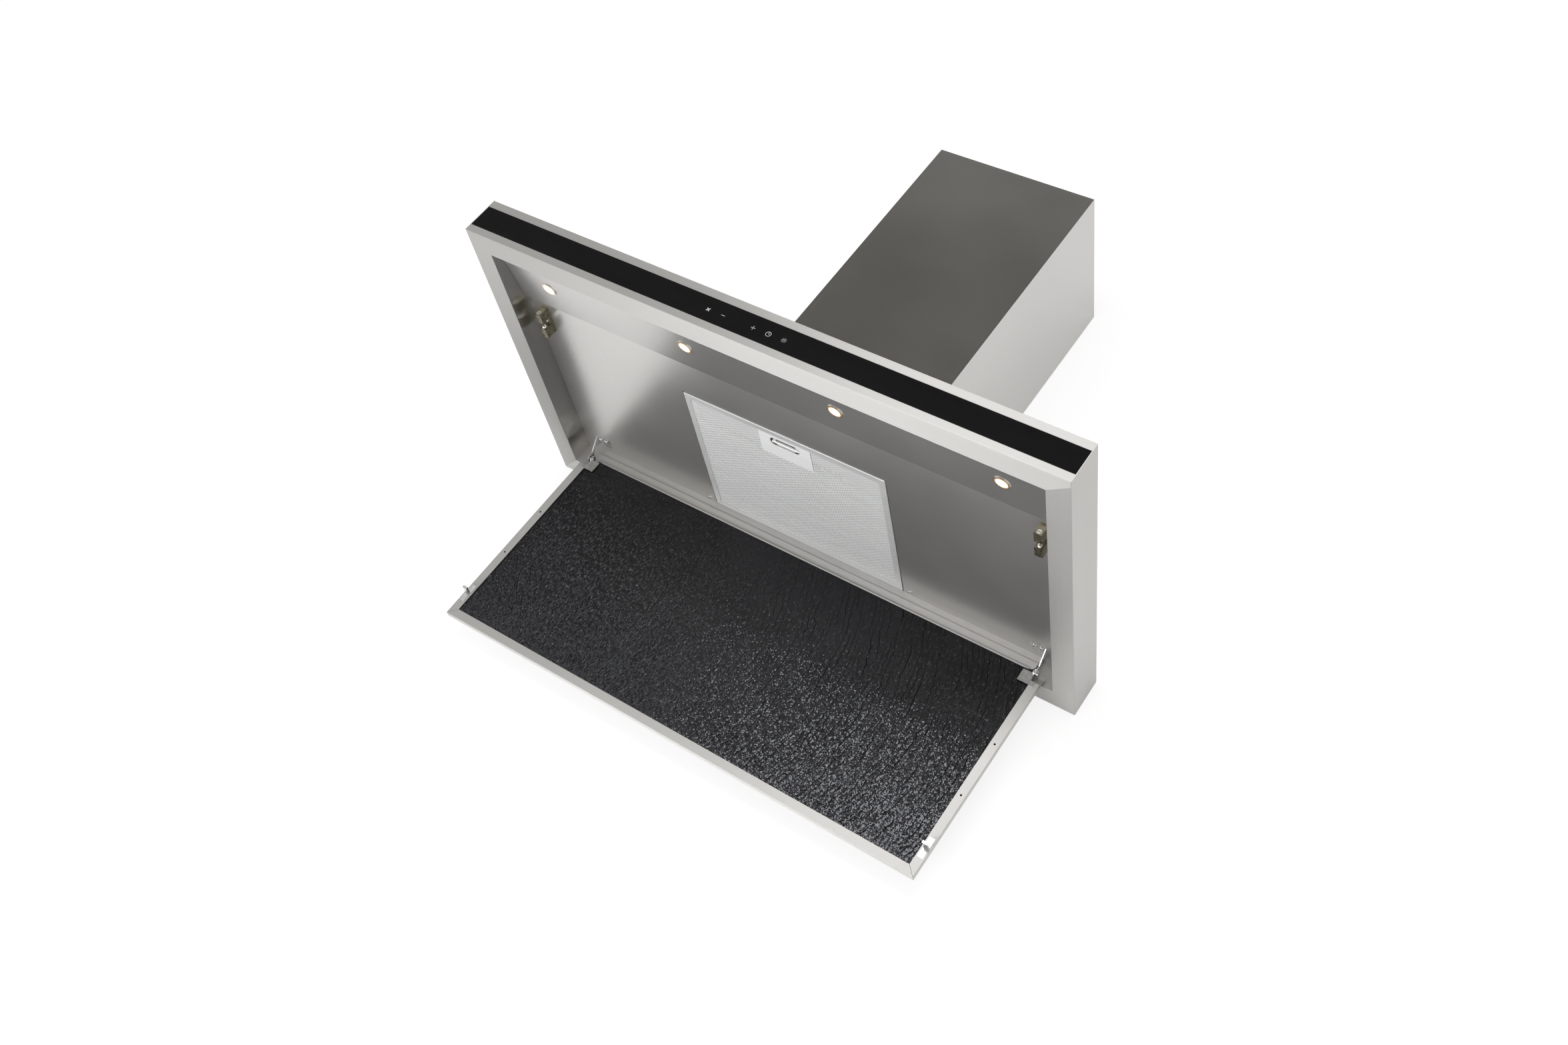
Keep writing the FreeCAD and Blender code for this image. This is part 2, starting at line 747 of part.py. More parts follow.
def filter_frame():
    """Channel rim of the grease filter with rear lugs and a slot for the latch."""
    ring = block(-filter_x, filter_x, filter_front_y, filter_rear_y, filter_bottom, filter_top)
    for along in (X_AXIS, Y_AXIS):
        ring = rounded_edges(ring, filter_fold_radius, along, lambda point: near(point.z, filter_bottom))
    inner_x = filter_x - filter_wall
    channel = block(-inner_x, inner_x, filter_front_y + filter_wall, filter_rear_y - filter_wall,
                    mesh_bottom, filter_top - filter_wall)
    window_x = filter_x - filter_lip
    window = block(-window_x, window_x, filter_front_y + filter_lip, filter_rear_y - filter_lip,
                   0, canopy_height)
    half_latch = latch_width / 2 + seat_gap
    latch_slot = block(handle_offset_x - half_latch, handle_offset_x + half_latch, latch_front_y,
                       filter_front_y + filter_lip, latch_bottom - seat_gap,
                       latch_bottom + latch_sheet + seat_gap)
    frame = less(ring, [channel, window, latch_slot])
    lug_bottom = ceiling_top + seat_gap
    for side in (1, -1):
        x = side * filter_lug_spacing / 2
        lug = block(x - filter_lug_width / 2, x + filter_lug_width / 2, filter_rear_y - filter_wall,
                    filter_rear_y + filter_lug_reach, lug_bottom, lug_bottom + filter_lug_thickness)
        frame = joined([frame, lug])
    return frame


def filter_mesh():
    """Front mesh sheet of the filter, cut out behind the handle plate."""
    mesh_x = filter_x - filter_wall - seat_gap
    front = filter_front_y + filter_wall + seat_gap
    rear = filter_rear_y - filter_wall - seat_gap
    mesh = block(-mesh_x, mesh_x, front, rear, mesh_bottom, mesh_bottom + filter_mesh_sheet)
    cut_x = handle_width / 2 - handle_land
    cut = block(handle_offset_x - cut_x, handle_offset_x + cut_x, handle_front_y - filter_lip,
                handle_rear_y - handle_land, 0, canopy_height)
    return less(mesh, [cut])


def filter_core():
    """Packed inner layers of the filter, behind the latch's pocket."""
    core_x = filter_x - filter_wall - seat_gap
    return block(-core_x, core_x, handle_rear_y, filter_rear_y - filter_wall - seat_gap,
                 mesh_bottom + filter_mesh_sheet, filter_top - filter_wall)


def filter_handle_plate():
    """Plate at the filter's front edge with the finger slot."""
    half = handle_width / 2
    plate = block(handle_offset_x - half, handle_offset_x + half, handle_front_y, handle_rear_y,
                  mesh_bottom - handle_sheet, mesh_bottom)
    slot_front = handle_front_y + handle_slot_inset
    radius = handle_slot_length / 2
    middle = slot_front + radius
    straight = handle_slot_width / 2 - radius
    slot = block(handle_offset_x - straight, handle_offset_x + straight, slot_front,
                 slot_front + handle_slot_length, 0, canopy_height)
    ends = [rod_z(0, canopy_height, handle_offset_x + side * straight, middle, radius) for side in (1, -1)]
    return less(plate, [slot] + ends)


def filter_latch():
    """Sliding latch: a tongue over the ceiling's edge and a pull bar behind the finger slot."""
    half = latch_width / 2
    slider = block(handle_offset_x - half, handle_offset_x + half, latch_front_y, latch_rear_y,
                   latch_bottom, latch_bottom + latch_sheet)
    pocket_half = handle_slot_width / 2 - handle_land
    finger_front = filter_front_y + filter_lip + handle_land
    bar_y = handle_front_y + latch_bar_inset
    finger_gap = block(handle_offset_x - half - seat_gap, handle_offset_x + half + seat_gap,
                       finger_front, bar_y, 0, canopy_height)
    bridge_half = pocket_half - latch_bar_radius
    bridges = []
    for side in (1, -1):
        x = handle_offset_x + side * bridge_half
        bridges.append(block(x - latch_bar_radius, x + latch_bar_radius, finger_front - handle_land, bar_y,
                             latch_bottom, latch_bottom + latch_sheet))
    front_plate = block(handle_offset_x - pocket_half, handle_offset_x + pocket_half,
                        finger_front - handle_land, finger_front, latch_bottom, latch_bottom + latch_sheet)
    bar = rod_x(handle_offset_x - latch_bar_length / 2, handle_offset_x + latch_bar_length / 2, bar_y,
                latch_bottom + latch_sheet / 2, latch_bar_radius)
    tab = block(handle_offset_x - latch_tab_width / 2, handle_offset_x + latch_tab_width / 2,
                latch_rear_y - latch_sheet, latch_rear_y, latch_bottom, latch_bottom + latch_tab_height)
    return joined([less(slider, [finger_gap]), front_plate, bar, tab] + bridges)


def latch_spring():
    """Coil that pushes the latch forwards, from its tab to the core's front face."""
    length = handle_rear_y - latch_rear_y - 2 * seat_gap - latch_spring_wire
    pitch = length / latch_spring_turns
    helix = Part.makeHelix(pitch, length, latch_spring_radius)
    start = V(latch_spring_radius, 0, 0)
    profile = Part.Wire(Part.makeCircle(latch_spring_wire / 2, start, V(0, latch_spring_radius, pitch)))
    coil = Part.Wire(helix.Edges).makePipeShell([profile], True, True)
    coil = coil.rotated(ORIGIN, X_AXIS, -flap_open_angle)
    spring_z = latch_bottom + latch_tab_height / 2
    return coil.translated(V(handle_offset_x, latch_rear_y + seat_gap + latch_spring_wire / 2, spring_z))


def blower_box():
    """Suction box over the canopy, open underneath, with screw flanges at both sides."""
    box = block(-box_x, box_x, box_front_y, box_rear_y, canopy_height, box_top)
    inside = block(-box_x + sheet, box_x - sheet, box_front_y + sheet, box_rear_y - sheet,
                   0, box_top - sheet)
    outlet = rod_z(canopy_height, box_top + sheet, 0, collar_y, collar_inner_radius)
    flange = block(box_x, box_x + blower_flange, box_front_y, box_rear_y,
                   canopy_height, canopy_height + sheet)
    holes = [screw_hole(x, y, 0, box_top) for x, y in blower_screw_places()]
    return less(joined([less(box, [inside]), flange, mirrored(flange)]), [outlet] + holes)


def blower_screw(x, y):
    """Pan-head screw down through the blower flange."""
    flange_top = canopy_height + sheet
    screw = pan_screw(0, 0, 0, 0).rotated(ORIGIN, X_AXIS, 2 * flap_open_angle)
    return screw.translated(V(x, y, flange_top))


def scroll_casing():
    """Volute with an inlet at each side and a square outlet upwards."""
    roof = box_top - sheet
    front = scroll_y - scroll_radius
    rear = front + scroll_width
    drum = rod_x(-scroll_x, scroll_x, scroll_y, scroll_z, scroll_radius)
    throat = block(-scroll_x, scroll_x, front, rear, scroll_z, roof)
    inner_x = scroll_x - scroll_wall
    drum_inside = rod_x(-inner_x, inner_x, scroll_y, scroll_z, scroll_radius - scroll_wall)
    throat_inside = block(-inner_x, inner_x, front + scroll_wall, rear - scroll_wall, scroll_z, roof)
    inlet = rod_x(-half_width, half_width, scroll_y, scroll_z, scroll_inlet_radius)
    return less(joined([drum, throat]), [drum_inside, throat_inside, inlet])


def impeller():
    """Bladed drum on a centre disc and hub."""
    half = impeller_width / 2
    rings = []
    for x in (-half, half - impeller_plate):
        outer = rod_x(x, x + impeller_plate, scroll_y, scroll_z, impeller_radius)
        rings.append(less(outer, [rod_x(x, x + impeller_plate, scroll_y, scroll_z, impeller_inner_radius)]))
    disc_end = impeller_disc_offset + impeller_plate
    disc = rod_x(impeller_disc_offset, disc_end, scroll_y, scroll_z, impeller_radius)
    hub = rod_x(disc_end - hub_length, disc_end, scroll_y, scroll_z, hub_radius)
    blade = block(-half, half, scroll_y - impeller_blade_thickness / 2,
                  scroll_y + impeller_blade_thickness / 2,
                  scroll_z + impeller_inner_radius + seat_gap, scroll_z + impeller_radius - seat_gap)
    step = 360.0 / impeller_blades
    blades = [blade.rotated(V(0, scroll_y, scroll_z), X_AXIS, step * i) for i in range(impeller_blades)]
    bore = rod_x(-half, half, scroll_y, scroll_z, shaft_radius)
    return less(joined(rings + [disc, hub] + blades), [bore])


def motor_shaft():
    """Shaft from the impeller's hub into the motor."""
    start = impeller_disc_offset + impeller_plate - hub_length
    return rod_x(start, start + shaft_length, scroll_y, scroll_z, shaft_radius)


def motor():
    """Motor inside the impeller's drum, with the shaft's bore at its inner end."""
    inner_end = scroll_x - motor_length
    body = rod_x(inner_end, scroll_x, scroll_y, scroll_z, motor_radius)
    bore = rod_x(inner_end, inner_end + motor_bore_depth, scroll_y, scroll_z, shaft_radius + shaft_clearance)
    return less(body, [bore])


def motor_spider():
    """Three-armed plate that carries the motor across the right-hand inlet."""
    inner = scroll_inlet_radius
    outer = inner + spider_ring_width
    ring = less(rod_x(scroll_x, scroll_x + spider_sheet, scroll_y, scroll_z, outer),
                [rod_x(scroll_x, scroll_x + spider_sheet, scroll_y, scroll_z, inner)])
    centre = rod_x(scroll_x, scroll_x + spider_sheet, scroll_y, scroll_z, motor_radius)
    arm = block(scroll_x, scroll_x + spider_sheet, scroll_y - spider_arm_width / 2,
                scroll_y + spider_arm_width / 2, scroll_z, scroll_z + inner + spider_ring_width / 2)
    step = 360.0 / spider_arms
    arms = [arm.rotated(V(0, scroll_y, scroll_z), X_AXIS, step * i) for i in range(spider_arms)]
    return joined([ring, centre] + arms)


def outlet_collar():
    """Flanged spigot for the duct, with a ledge that the dampers rest on."""
    top = collar_bottom + collar_height
    flange = rod_z(collar_bottom, collar_bottom + collar_flange, 0, collar_y,
                   collar_radius + collar_flange_width)
    tube = rod_z(collar_bottom, top, 0, collar_y, collar_radius)
    bore = rod_z(collar_bottom, top, 0, collar_y, collar_inner_radius)
    ledge_top = damper_z - damper_sheet / 2 - damper_seat_gap
    ledge_bottom = ledge_top - damper_ledge_height
    ledge = less(rod_z(ledge_bottom, ledge_top, 0, collar_y, collar_radius - collar_wall / 2),
                 [rod_z(ledge_bottom, ledge_top, 0, collar_y, collar_inner_radius - damper_ledge)])
    relief = block(-collar_radius, collar_radius, collar_y - damper_pin_spacing,
                   collar_y + damper_pin_spacing, ledge_bottom, ledge_top)
    collar = joined([less(joined([flange, tube]), [bore]), less(ledge, [relief])])
    pin_x = collar_radius - collar_wall / 2
    pin_holes = []
    for side in (1, -1):
        y = collar_y + side * damper_pin_spacing / 2
        pin_holes.append(rod_x(-pin_x, pin_x, y, damper_z, damper_pin_radius + damper_clearance))
    return less(collar, pin_holes)


def damper_pin(side):
    """Pin of one damper, held in the collar's wall."""
    pin_x = collar_radius - collar_wall / 2
    return rod_x(-pin_x, pin_x, collar_y + side * damper_pin_spacing / 2, damper_z, damper_pin_radius)


def damper_flap(side):
    """Half-round damper with a rolled barrel on its pin."""
    pin_y = collar_y + side * damper_pin_spacing / 2
    radius = collar_inner_radius - damper_gap
    half_barrel = damper_barrel_length / 2
    disc = rod_z(damper_z - damper_sheet / 2, damper_z + damper_sheet / 2, 0, collar_y, radius)
    far_y = collar_y + side * collar_radius
    keep = block(-half_barrel, half_barrel, min(pin_y, far_y), max(pin_y, far_y),
                 damper_z - damper_sheet, damper_z + damper_sheet)
    barrel = rod_x(-half_barrel, half_barrel, pin_y, damper_z, damper_barrel_radius)
    bore = rod_x(-collar_radius, collar_radius, pin_y, damper_z, damper_pin_radius + damper_clearance)
    return less(joined([disc.common(keep), barrel]), [bore])


def wall_plate():
    """Plate bolted to the wall, welded to the back of the blower box."""
    half = bolt_spacing_x / 2 + wall_plate_margin
    tall = bolt_spacing_z / 2 + wall_plate_margin
    plate = block(-half, half, -wall_plate_thickness, 0, bolt_height - tall, bolt_height + tall)
    holes = []
    for x in (-bolt_spacing_x / 2, bolt_spacing_x / 2):
        for z in (bolt_height - bolt_spacing_z / 2, bolt_height + bolt_spacing_z / 2):
            holes.append(rod_y(-wall_plate_thickness, 0, x, z, bolt_hole_radius))
    return less(plate, holes)


def chimney_cover():
    """Three-sided chimney cover with narrow flanges turned in along the wall."""
    bottom = canopy_height
    cover = block(-chimney_x, chimney_x, -chimney_depth, 0, bottom, chimney_top)
    cover = rounded_edges(cover, fold_radius, Z_AXIS, lambda point: near(point.y, -chimney_depth))
    inner_x = chimney_x - sheet
    inside = block(-inner_x, inner_x, -chimney_depth + sheet, -sheet, bottom, chimney_top)
    gap_x = chimney_x - chimney_flange
    rear_gap = block(-gap_x, gap_x, -sheet, 0, bottom, chimney_top)
    notch = block(-inner_x, inner_x, -sheet, 0, chimney_top - chimney_notch, chimney_top)
    return less(cover, [inside, rear_gap, notch])


def chimney_bracket():
    """Wall bracket whose ears locate the top of the chimney cover."""
    ear_x = chimney_x - sheet
    bottom = chimney_bracket_top - chimney_bracket_height
    thick = chimney_bracket_sheet
    leg_x = chimney_x - chimney_flange - seat_gap
    leg = block(-leg_x, leg_x, -thick, 0, bottom, chimney_bracket_top)
    step = block(-ear_x, ear_x, -sheet - thick, -sheet, bottom, chimney_bracket_top)
    ear = block(ear_x - thick, ear_x, -chimney_bracket_ear, -sheet, bottom, chimney_bracket_top)
    middle = chimney_bracket_top - chimney_bracket_height / 2
    holes = []
    for side in (1, -1):
        x = side * chimney_bolt_spacing / 2
        holes.append(rod_y(-chimney_bracket_ear, 0, x, middle, chimney_bolt_radius))
    return less(joined([leg, step, ear, mirrored(ear)]), holes)


def terminal_box():
    """Junction box on the roof of the blower box."""
    left = -box_x + terminal_inset
    rear = box_rear_y - terminal_inset
    return block(left, left + terminal_width, rear - terminal_depth, rear, box_top, box_top + terminal_height)


def cable_gland():
    """Gland that the mains lead leaves through, on top of the junction box."""
    x = -box_x + terminal_inset + terminal_width / 2
    y = box_rear_y - terminal_inset - terminal_depth / 2
    bottom = box_top + terminal_height
    nut = rod_z(bottom, bottom + gland_nut, x, y, gland_nut_radius)
    dome = rod_z(bottom + gland_nut, bottom + gland_height, x, y, gland_radius)
    bore = rod_z(bottom, bottom + gland_height, x, y, gland_bore_radius)
    return less(joined([nut, dome]), [bore])


def led_driver():
    """Lamp driver lying on top of the ceiling plate."""
    front = ceiling_front_y + driver_offset_y
    return block(driver_x - driver_length / 2, driver_x + driver_length / 2,
                 front, front + driver_width, ceiling_top, ceiling_top + driver_height)


os.makedirs("parts", exist_ok=True)

# Canopy, rails and front
save("canopy_shell", canopy_shell())
save("frame_front", front_rail())
save("frame_rear", rear_rail())
save("frame_right", side_rail())
save("frame_left", mirrored(side_rail()))
save("front_fascia", front_fascia())
save("control_glass", control_glass())
save("control_board", control_board())

# Light strip and lamps
save("light_strip", light_strip())
for number, lamp_x in enumerate(lamp_places(), start=1):
    save("lamp_body_" + str(number), on_strip(lamp_body(), lamp_x))
save("lamp_lenses", Part.makeCompound([on_strip(lamp_lens(), lamp_x) for lamp_x in lamp_places()]))

# Ceiling of the recess
save("ceiling_plate", ceiling_plate())
save("rear_band", rear_band())
ceiling_screws = [pan_screw(x, y, recess_height, 0) for x, y in ceiling_screw_places()]
save("ceiling_screws", Part.makeCompound(ceiling_screws))

# Flap and hinges
save("flap_tray", opened(flap_tray()))
save("foam_mat", opened(foam_mat()))
save("flap_ear_right", opened(flap_ear()))
save("flap_ear_left", opened(mirrored(flap_ear())))
save("striker_right", opened(striker()))
save("striker_left", opened(mirrored(striker())))
save("hinge_bracket_right", hinge_bracket())
save("hinge_bracket_left", mirrored(hinge_bracket()))
save("hinge_pin_right", hinge_pin())
save("hinge_pin_left", mirrored(hinge_pin()))
hinge_screws = [pan_screw(x, y, recess_height, bracket_sheet) for x, y in hinge_screw_places()]
hinge_screws += [mirrored(screw) for screw in hinge_screws]
save("hinge_screws", Part.makeCompound(hinge_screws))

# Ball catches
save("catch_body_right", catch_body())
save("catch_body_left", mirrored(catch_body()))
for side, place in ((1, "rear"), (-1, "front")):
    save("catch_ball_right_" + place, catch_ball(side))
    save("catch_ball_left_" + place, mirrored(catch_ball(side)))
plugs = [catch_plug(side) for side in (1, -1)]
save("catch_plugs", Part.makeCompound(plugs + [mirrored(plug) for plug in plugs]))
catch_screw = pan_screw(striker_x, striker_y, catch_slot_top, 0)
save("catch_screws", Part.makeCompound([catch_screw, mirrored(catch_screw)]))

# Grease filter and its latch
save("filter_frame", filter_frame())
save("filter_mesh", filter_mesh())
save("filter_core", filter_core())
save("filter_handle_plate", filter_handle_plate())
save("filter_latch", filter_latch())
save("latch_spring", latch_spring())

# Blower
save("blower_box", blower_box())
save("blower_screws", Part.makeCompound([blower_screw(x, y) for x, y in blower_screw_places()]))
save("scroll_casing", scroll_casing())
save("impeller", impeller())
save("motor_shaft", motor_shaft())
save("motor", motor())
save("motor_spider", motor_spider())

# Outlet
save("outlet_collar", outlet_collar())
save("damper_pins", Part.makeCompound([damper_pin(side) for side in (1, -1)]))
save("damper_flap_rear", damper_flap(1))
save("damper_flap_front", damper_flap(-1))

# Wall fixing, chimney and electrical parts
save("wall_plate", wall_plate())
save("chimney_cover", chimney_cover())
save("chimney_bracket", chimney_bracket())
save("terminal_box", terminal_box())
save("cable_gland", cable_gland())
save("led_driver", led_driver())
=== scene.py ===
"""Looks of a wall-mounted range hood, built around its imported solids."""

import math

import bpy
from bpy.props import FloatProperty, FloatVectorProperty, IntProperty, PointerProperty
from mathutils import Matrix, Vector, noise


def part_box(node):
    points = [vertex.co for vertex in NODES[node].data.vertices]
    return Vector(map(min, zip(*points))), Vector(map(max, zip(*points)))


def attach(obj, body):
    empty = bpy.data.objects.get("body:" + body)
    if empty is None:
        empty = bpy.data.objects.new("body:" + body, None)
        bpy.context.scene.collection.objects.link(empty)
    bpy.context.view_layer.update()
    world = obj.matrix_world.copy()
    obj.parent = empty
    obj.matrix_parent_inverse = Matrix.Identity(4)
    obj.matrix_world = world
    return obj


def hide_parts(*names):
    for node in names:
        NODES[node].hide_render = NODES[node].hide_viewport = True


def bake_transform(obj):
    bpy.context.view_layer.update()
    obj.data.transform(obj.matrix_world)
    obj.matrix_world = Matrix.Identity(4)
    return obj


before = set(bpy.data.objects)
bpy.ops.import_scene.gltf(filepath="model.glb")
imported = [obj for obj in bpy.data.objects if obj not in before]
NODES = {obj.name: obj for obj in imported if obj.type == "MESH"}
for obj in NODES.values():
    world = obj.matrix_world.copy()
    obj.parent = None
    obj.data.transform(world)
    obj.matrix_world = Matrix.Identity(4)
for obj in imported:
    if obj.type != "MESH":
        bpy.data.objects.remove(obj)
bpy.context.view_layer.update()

bl_info = {
    "name": "Wall Range Hood",
    "version": (1, 0, 0),
    "blender": (4, 5, 0),
    "location": "View3D > Sidebar > Hood",
    "description": "Finishes and soft pieces of a wall-mounted range hood",
    "category": "Object",
}

QUARTER_TURN = math.pi / 2
MILLIMETRE = 0.001
SMOOTH_ANGLE = math.radians(60.0)
SENSOR_WIDTH = 36.0
FLOOR_GREY = (0.86, 0.86, 0.86, 1.0)
# Printed marks: sides of the round ones, and the rounding of a bar's corners by its width
RING_SIDES = 32
BLADE_SIDES = 16
BAR_ROUNDING = 0.45
# Latch spring: sides of its wire, and steps in one turn
WIRE_SIDES = 10
COIL_STEPS = 24
# Brushed grain: repeats per metre along it and across it
SCRATCHES = (12.0, 1800.0)
BANDS = (1.2, 220.0)
# Part of a full turn that spreads a highlight across the grain
SPREAD_TURN = 0.25
# Range that soft noise mostly keeps to
USUAL = (0.3, 0.7)
# Long creases of the mat: where they begin, and the width over which they open
CREASES_BEGIN = -0.16
CREASES_GROW = 0.36
# Direction across the mat's loose folds
FOLDS_ACROSS = (0.85, 0.53)

# Sheet metal, by its finish: grain across, grain front to back, the same with smoother side walls,
# faint grain with smoother side walls, and plain rolled
GRAIN_ACROSS = ("frame_front", "front_fascia", "rear_band", "flap_tray")
GRAIN_DEEP = ("canopy_shell",)
GRAIN_WALLED = ("frame_left",)
GRAIN_FAINT = ("frame_right", "frame_rear")
ROLLED = ("ceiling_plate", "light_strip")
# Fittings and inner parts, by finish
PLATED = ("hinge_bracket_left", "hinge_bracket_right", "flap_ear_left", "flap_ear_right",
          "striker_left", "striker_right", "wall_plate", "chimney_bracket", "motor_spider",
          "scroll_casing", "blower_box")
BRIGHT = ("hinge_pin_left", "hinge_pin_right", "hinge_screws", "ceiling_screws", "catch_screws",
          "catch_plugs", "blower_screws", "damper_pins", "motor_shaft", "catch_ball_left_front",
          "catch_ball_left_rear", "catch_ball_right_front", "catch_ball_right_rear")
BRONZE = ("catch_body_left", "catch_body_right")
LAMP_BODIES = ("lamp_body_1", "lamp_body_2", "lamp_body_3", "lamp_body_4")
DARK_MOULDED = ("impeller", "outlet_collar", "damper_flap_front", "damper_flap_rear",
                "terminal_box", "cable_gland")


class HoodSteel(bpy.types.PropertyGroup):
    """Brushed stainless sheet."""
    colour: FloatVectorProperty(name="Steel", description="Colour of the stainless sheet",
                                subtype="COLOR", size=3, min=0.0, max=1.0,
                                default=(0.64, 0.63, 0.61))
    metal: FloatProperty(name="Metal", description="Share of the light that the sheet mirrors",
                         subtype="FACTOR", min=0.0, max=1.0, default=0.88)
    recess_metal: FloatProperty(name="Recess metal",
                                description="The same for the recess's ceiling", subtype="FACTOR",
                                min=0.0, max=1.0, default=0.82)
    roughness: FloatProperty(name="Roughness", description="Roughness of the brushed outer faces",
                             subtype="FACTOR", min=0.0, max=1.0, default=0.50)
    smooth: FloatProperty(name="Smooth", description="Roughness of the plain rolled faces",
                          subtype="FACTOR", min=0.0, max=1.0, default=0.30)
    wall: FloatProperty(name="Wall", description="Roughness of the recess's side walls",
                        subtype="FACTOR", min=0.0, max=1.0, default=0.2)
    pull: FloatProperty(name="Pull", description="How far highlights spread across the grain",
                        subtype="FACTOR", min=0.0, max=1.0, default=0.95)
    grain_depth: FloatProperty(name="Grain depth", description="Depth of the brushed scratches",
                               subtype="DISTANCE", unit="LENGTH", min=0.0, default=0.00002)


class HoodGlass(bpy.types.PropertyGroup):
    """Touch glass and its printed marks."""
    colour: FloatVectorProperty(name="Glass", description="Colour behind the glass",
                                subtype="COLOR", size=3, min=0.0, max=1.0,
                                default=(0.004, 0.004, 0.0045))
    mark_colour: FloatVectorProperty(name="Marks", description="Colour of the printed marks",
                                     subtype="COLOR", size=3, min=0.0, max=1.0,
                                     default=(0.56, 0.58, 0.59))
    mark_pitch: FloatProperty(name="Pitch", description="Distance between touch marks",
                              subtype="DISTANCE", unit="LENGTH", min=0.01, default=0.0228)
    mark_size: FloatProperty(name="Mark size", description="Width of one touch mark",
                             subtype="DISTANCE", unit="LENGTH", min=0.001, default=0.0068)
    mark_line: FloatProperty(name="Line", description="Width of the printed lines",
                             subtype="DISTANCE", unit="LENGTH", min=0.0001, default=0.00055)
    mark_depth: FloatProperty(name="Print", description="Thickness of the print",
                              subtype="DISTANCE", unit="LENGTH", min=0.00001, default=0.00004)
    middle: FloatProperty(name="Middle",
                          description="Middle of the row of marks, from the hood's middle",
                          subtype="DISTANCE", unit="LENGTH", default=-0.0186)
    height: FloatProperty(name="Height",
                          description="Height of the marks over the glass's lower edge",
                          subtype="DISTANCE", unit="LENGTH", default=0.0173)


class HoodFoam(bpy.types.PropertyGroup):
    """Acoustic mat on the flap."""
    colour: FloatVectorProperty(name="Skin", description="Colour of the mat's skin",
                                subtype="COLOR", size=3, min=0.0, max=1.0,
                                default=(0.0085, 0.0085, 0.0095))
    step: FloatProperty(name="Step", description="Spacing of the mat's mesh across its creases",
                        subtype="DISTANCE", unit="LENGTH", min=0.0005, default=0.0008)
    stride: FloatProperty(name="Stride", description="Spacing of the mat's mesh along its creases",
                          subtype="DISTANCE", unit="LENGTH", min=0.001, default=0.0026)
    crease_pitch: FloatProperty(name="Crease pitch", description="Usual distance between creases",
                                subtype="DISTANCE", unit="LENGTH", min=0.002, default=0.0078)
    crease_length: FloatProperty(name="Crease length", description="Usual length of a crease",
                                 subtype="DISTANCE", unit="LENGTH", min=0.01, default=0.07)
    crease_depth: FloatProperty(name="Crease depth", description="Depth of a full crease",
                                subtype="DISTANCE", unit="LENGTH", min=0.0, default=0.0002)
    swell: FloatProperty(name="Swell", description="Height of the soft swellings",
                         subtype="DISTANCE", unit="LENGTH", min=0.0, default=0.0002)
    crease_bow: FloatProperty(name="Crease bow", description="Bend of the creases, per metre",
                              min=0.0, default=1.25)
    crease_turn: FloatProperty(name="Crease turn",
                               description="Height where the creases run straight up",
                               subtype="DISTANCE", unit="LENGTH", default=-0.34)
    fold_x: FloatProperty(name="Fold x", description="Middle of the loose folds, across",
                          subtype="DISTANCE", unit="LENGTH", default=-0.335)
    fold_z: FloatProperty(name="Fold z", description="Middle of the loose folds, up",
                          subtype="DISTANCE", unit="LENGTH", default=-0.385)
    fold_reach: FloatProperty(name="Fold reach", description="How far the loose folds reach",
                              subtype="DISTANCE", unit="LENGTH", min=0.01, default=0.10)
    edge_roll: FloatProperty(name="Edge roll",
                             description="Width of the rolled edge beside the lip",
                             subtype="DISTANCE", unit="LENGTH", min=0.001, default=0.012)
    lip: FloatProperty(name="Lip", description="Width of the tray's lip over the mat",
                       subtype="DISTANCE", unit="LENGTH", min=0.0, default=0.013)
    crease_width: FloatProperty(name="Crease width", description="Width of a crease's valley",
                                subtype="DISTANCE", unit="LENGTH", min=0.0005, default=0.0022)
    wrinkle: FloatProperty(name="Wrinkle", description="Width of one facet of the skin's grain",
                           subtype="DISTANCE", unit="LENGTH", min=0.0005, default=0.0016)
    wrinkle_depth: FloatProperty(name="Wrinkle depth", description="Depth of the skin's grain",
                                 subtype="DISTANCE", unit="LENGTH", min=0.0, default=0.0007)


class HoodFilter(bpy.types.PropertyGroup):
    """Expanded mesh, finger pocket and latch spring of the grease filter."""
    colour: FloatVectorProperty(name="Aluminium", description="Colour of the filter",
                                subtype="COLOR", size=3, min=0.0, max=1.0,
                                default=(0.88, 0.885, 0.88))
    long_way: FloatProperty(name="Long way", description="Length of one diamond opening",
                            subtype="DISTANCE", unit="LENGTH", min=0.002, default=0.00606)
    short_way: FloatProperty(name="Short way", description="Height of one diamond opening",
                             subtype="DISTANCE", unit="LENGTH", min=0.001, default=0.00383)
    strand: FloatProperty(name="Strand", description="Width of a strand", subtype="DISTANCE",
                          unit="LENGTH", min=0.0002, default=0.0012)
    twist: FloatProperty(name="Twist", description="Height between a strand's two edges",
                         subtype="DISTANCE", unit="LENGTH", min=0.0, default=0.0003)
    gauge: FloatProperty(name="Gauge", description="Thickness of a strand", subtype="DISTANCE",
                         unit="LENGTH", min=0.00005, default=0.0002)
    spring_wire: FloatProperty(name="Spring wire",
                               description="Thickness of the latch spring's wire",
                               subtype="DISTANCE", unit="LENGTH", min=0.0001, default=0.0005)
    spring_turns: IntProperty(name="Spring turns", description="Turns of the latch spring", min=1,
                              default=6)
    pocket_margin: FloatProperty(name="Pocket margin",
                                 description="Inset of the finger pocket under its plate",
                                 subtype="DISTANCE", unit="LENGTH", min=0.0, default=0.008)
    cells: IntProperty(name="Cells", description="Diamonds along each side of the uncut mesh",
                       min=20, default=124)


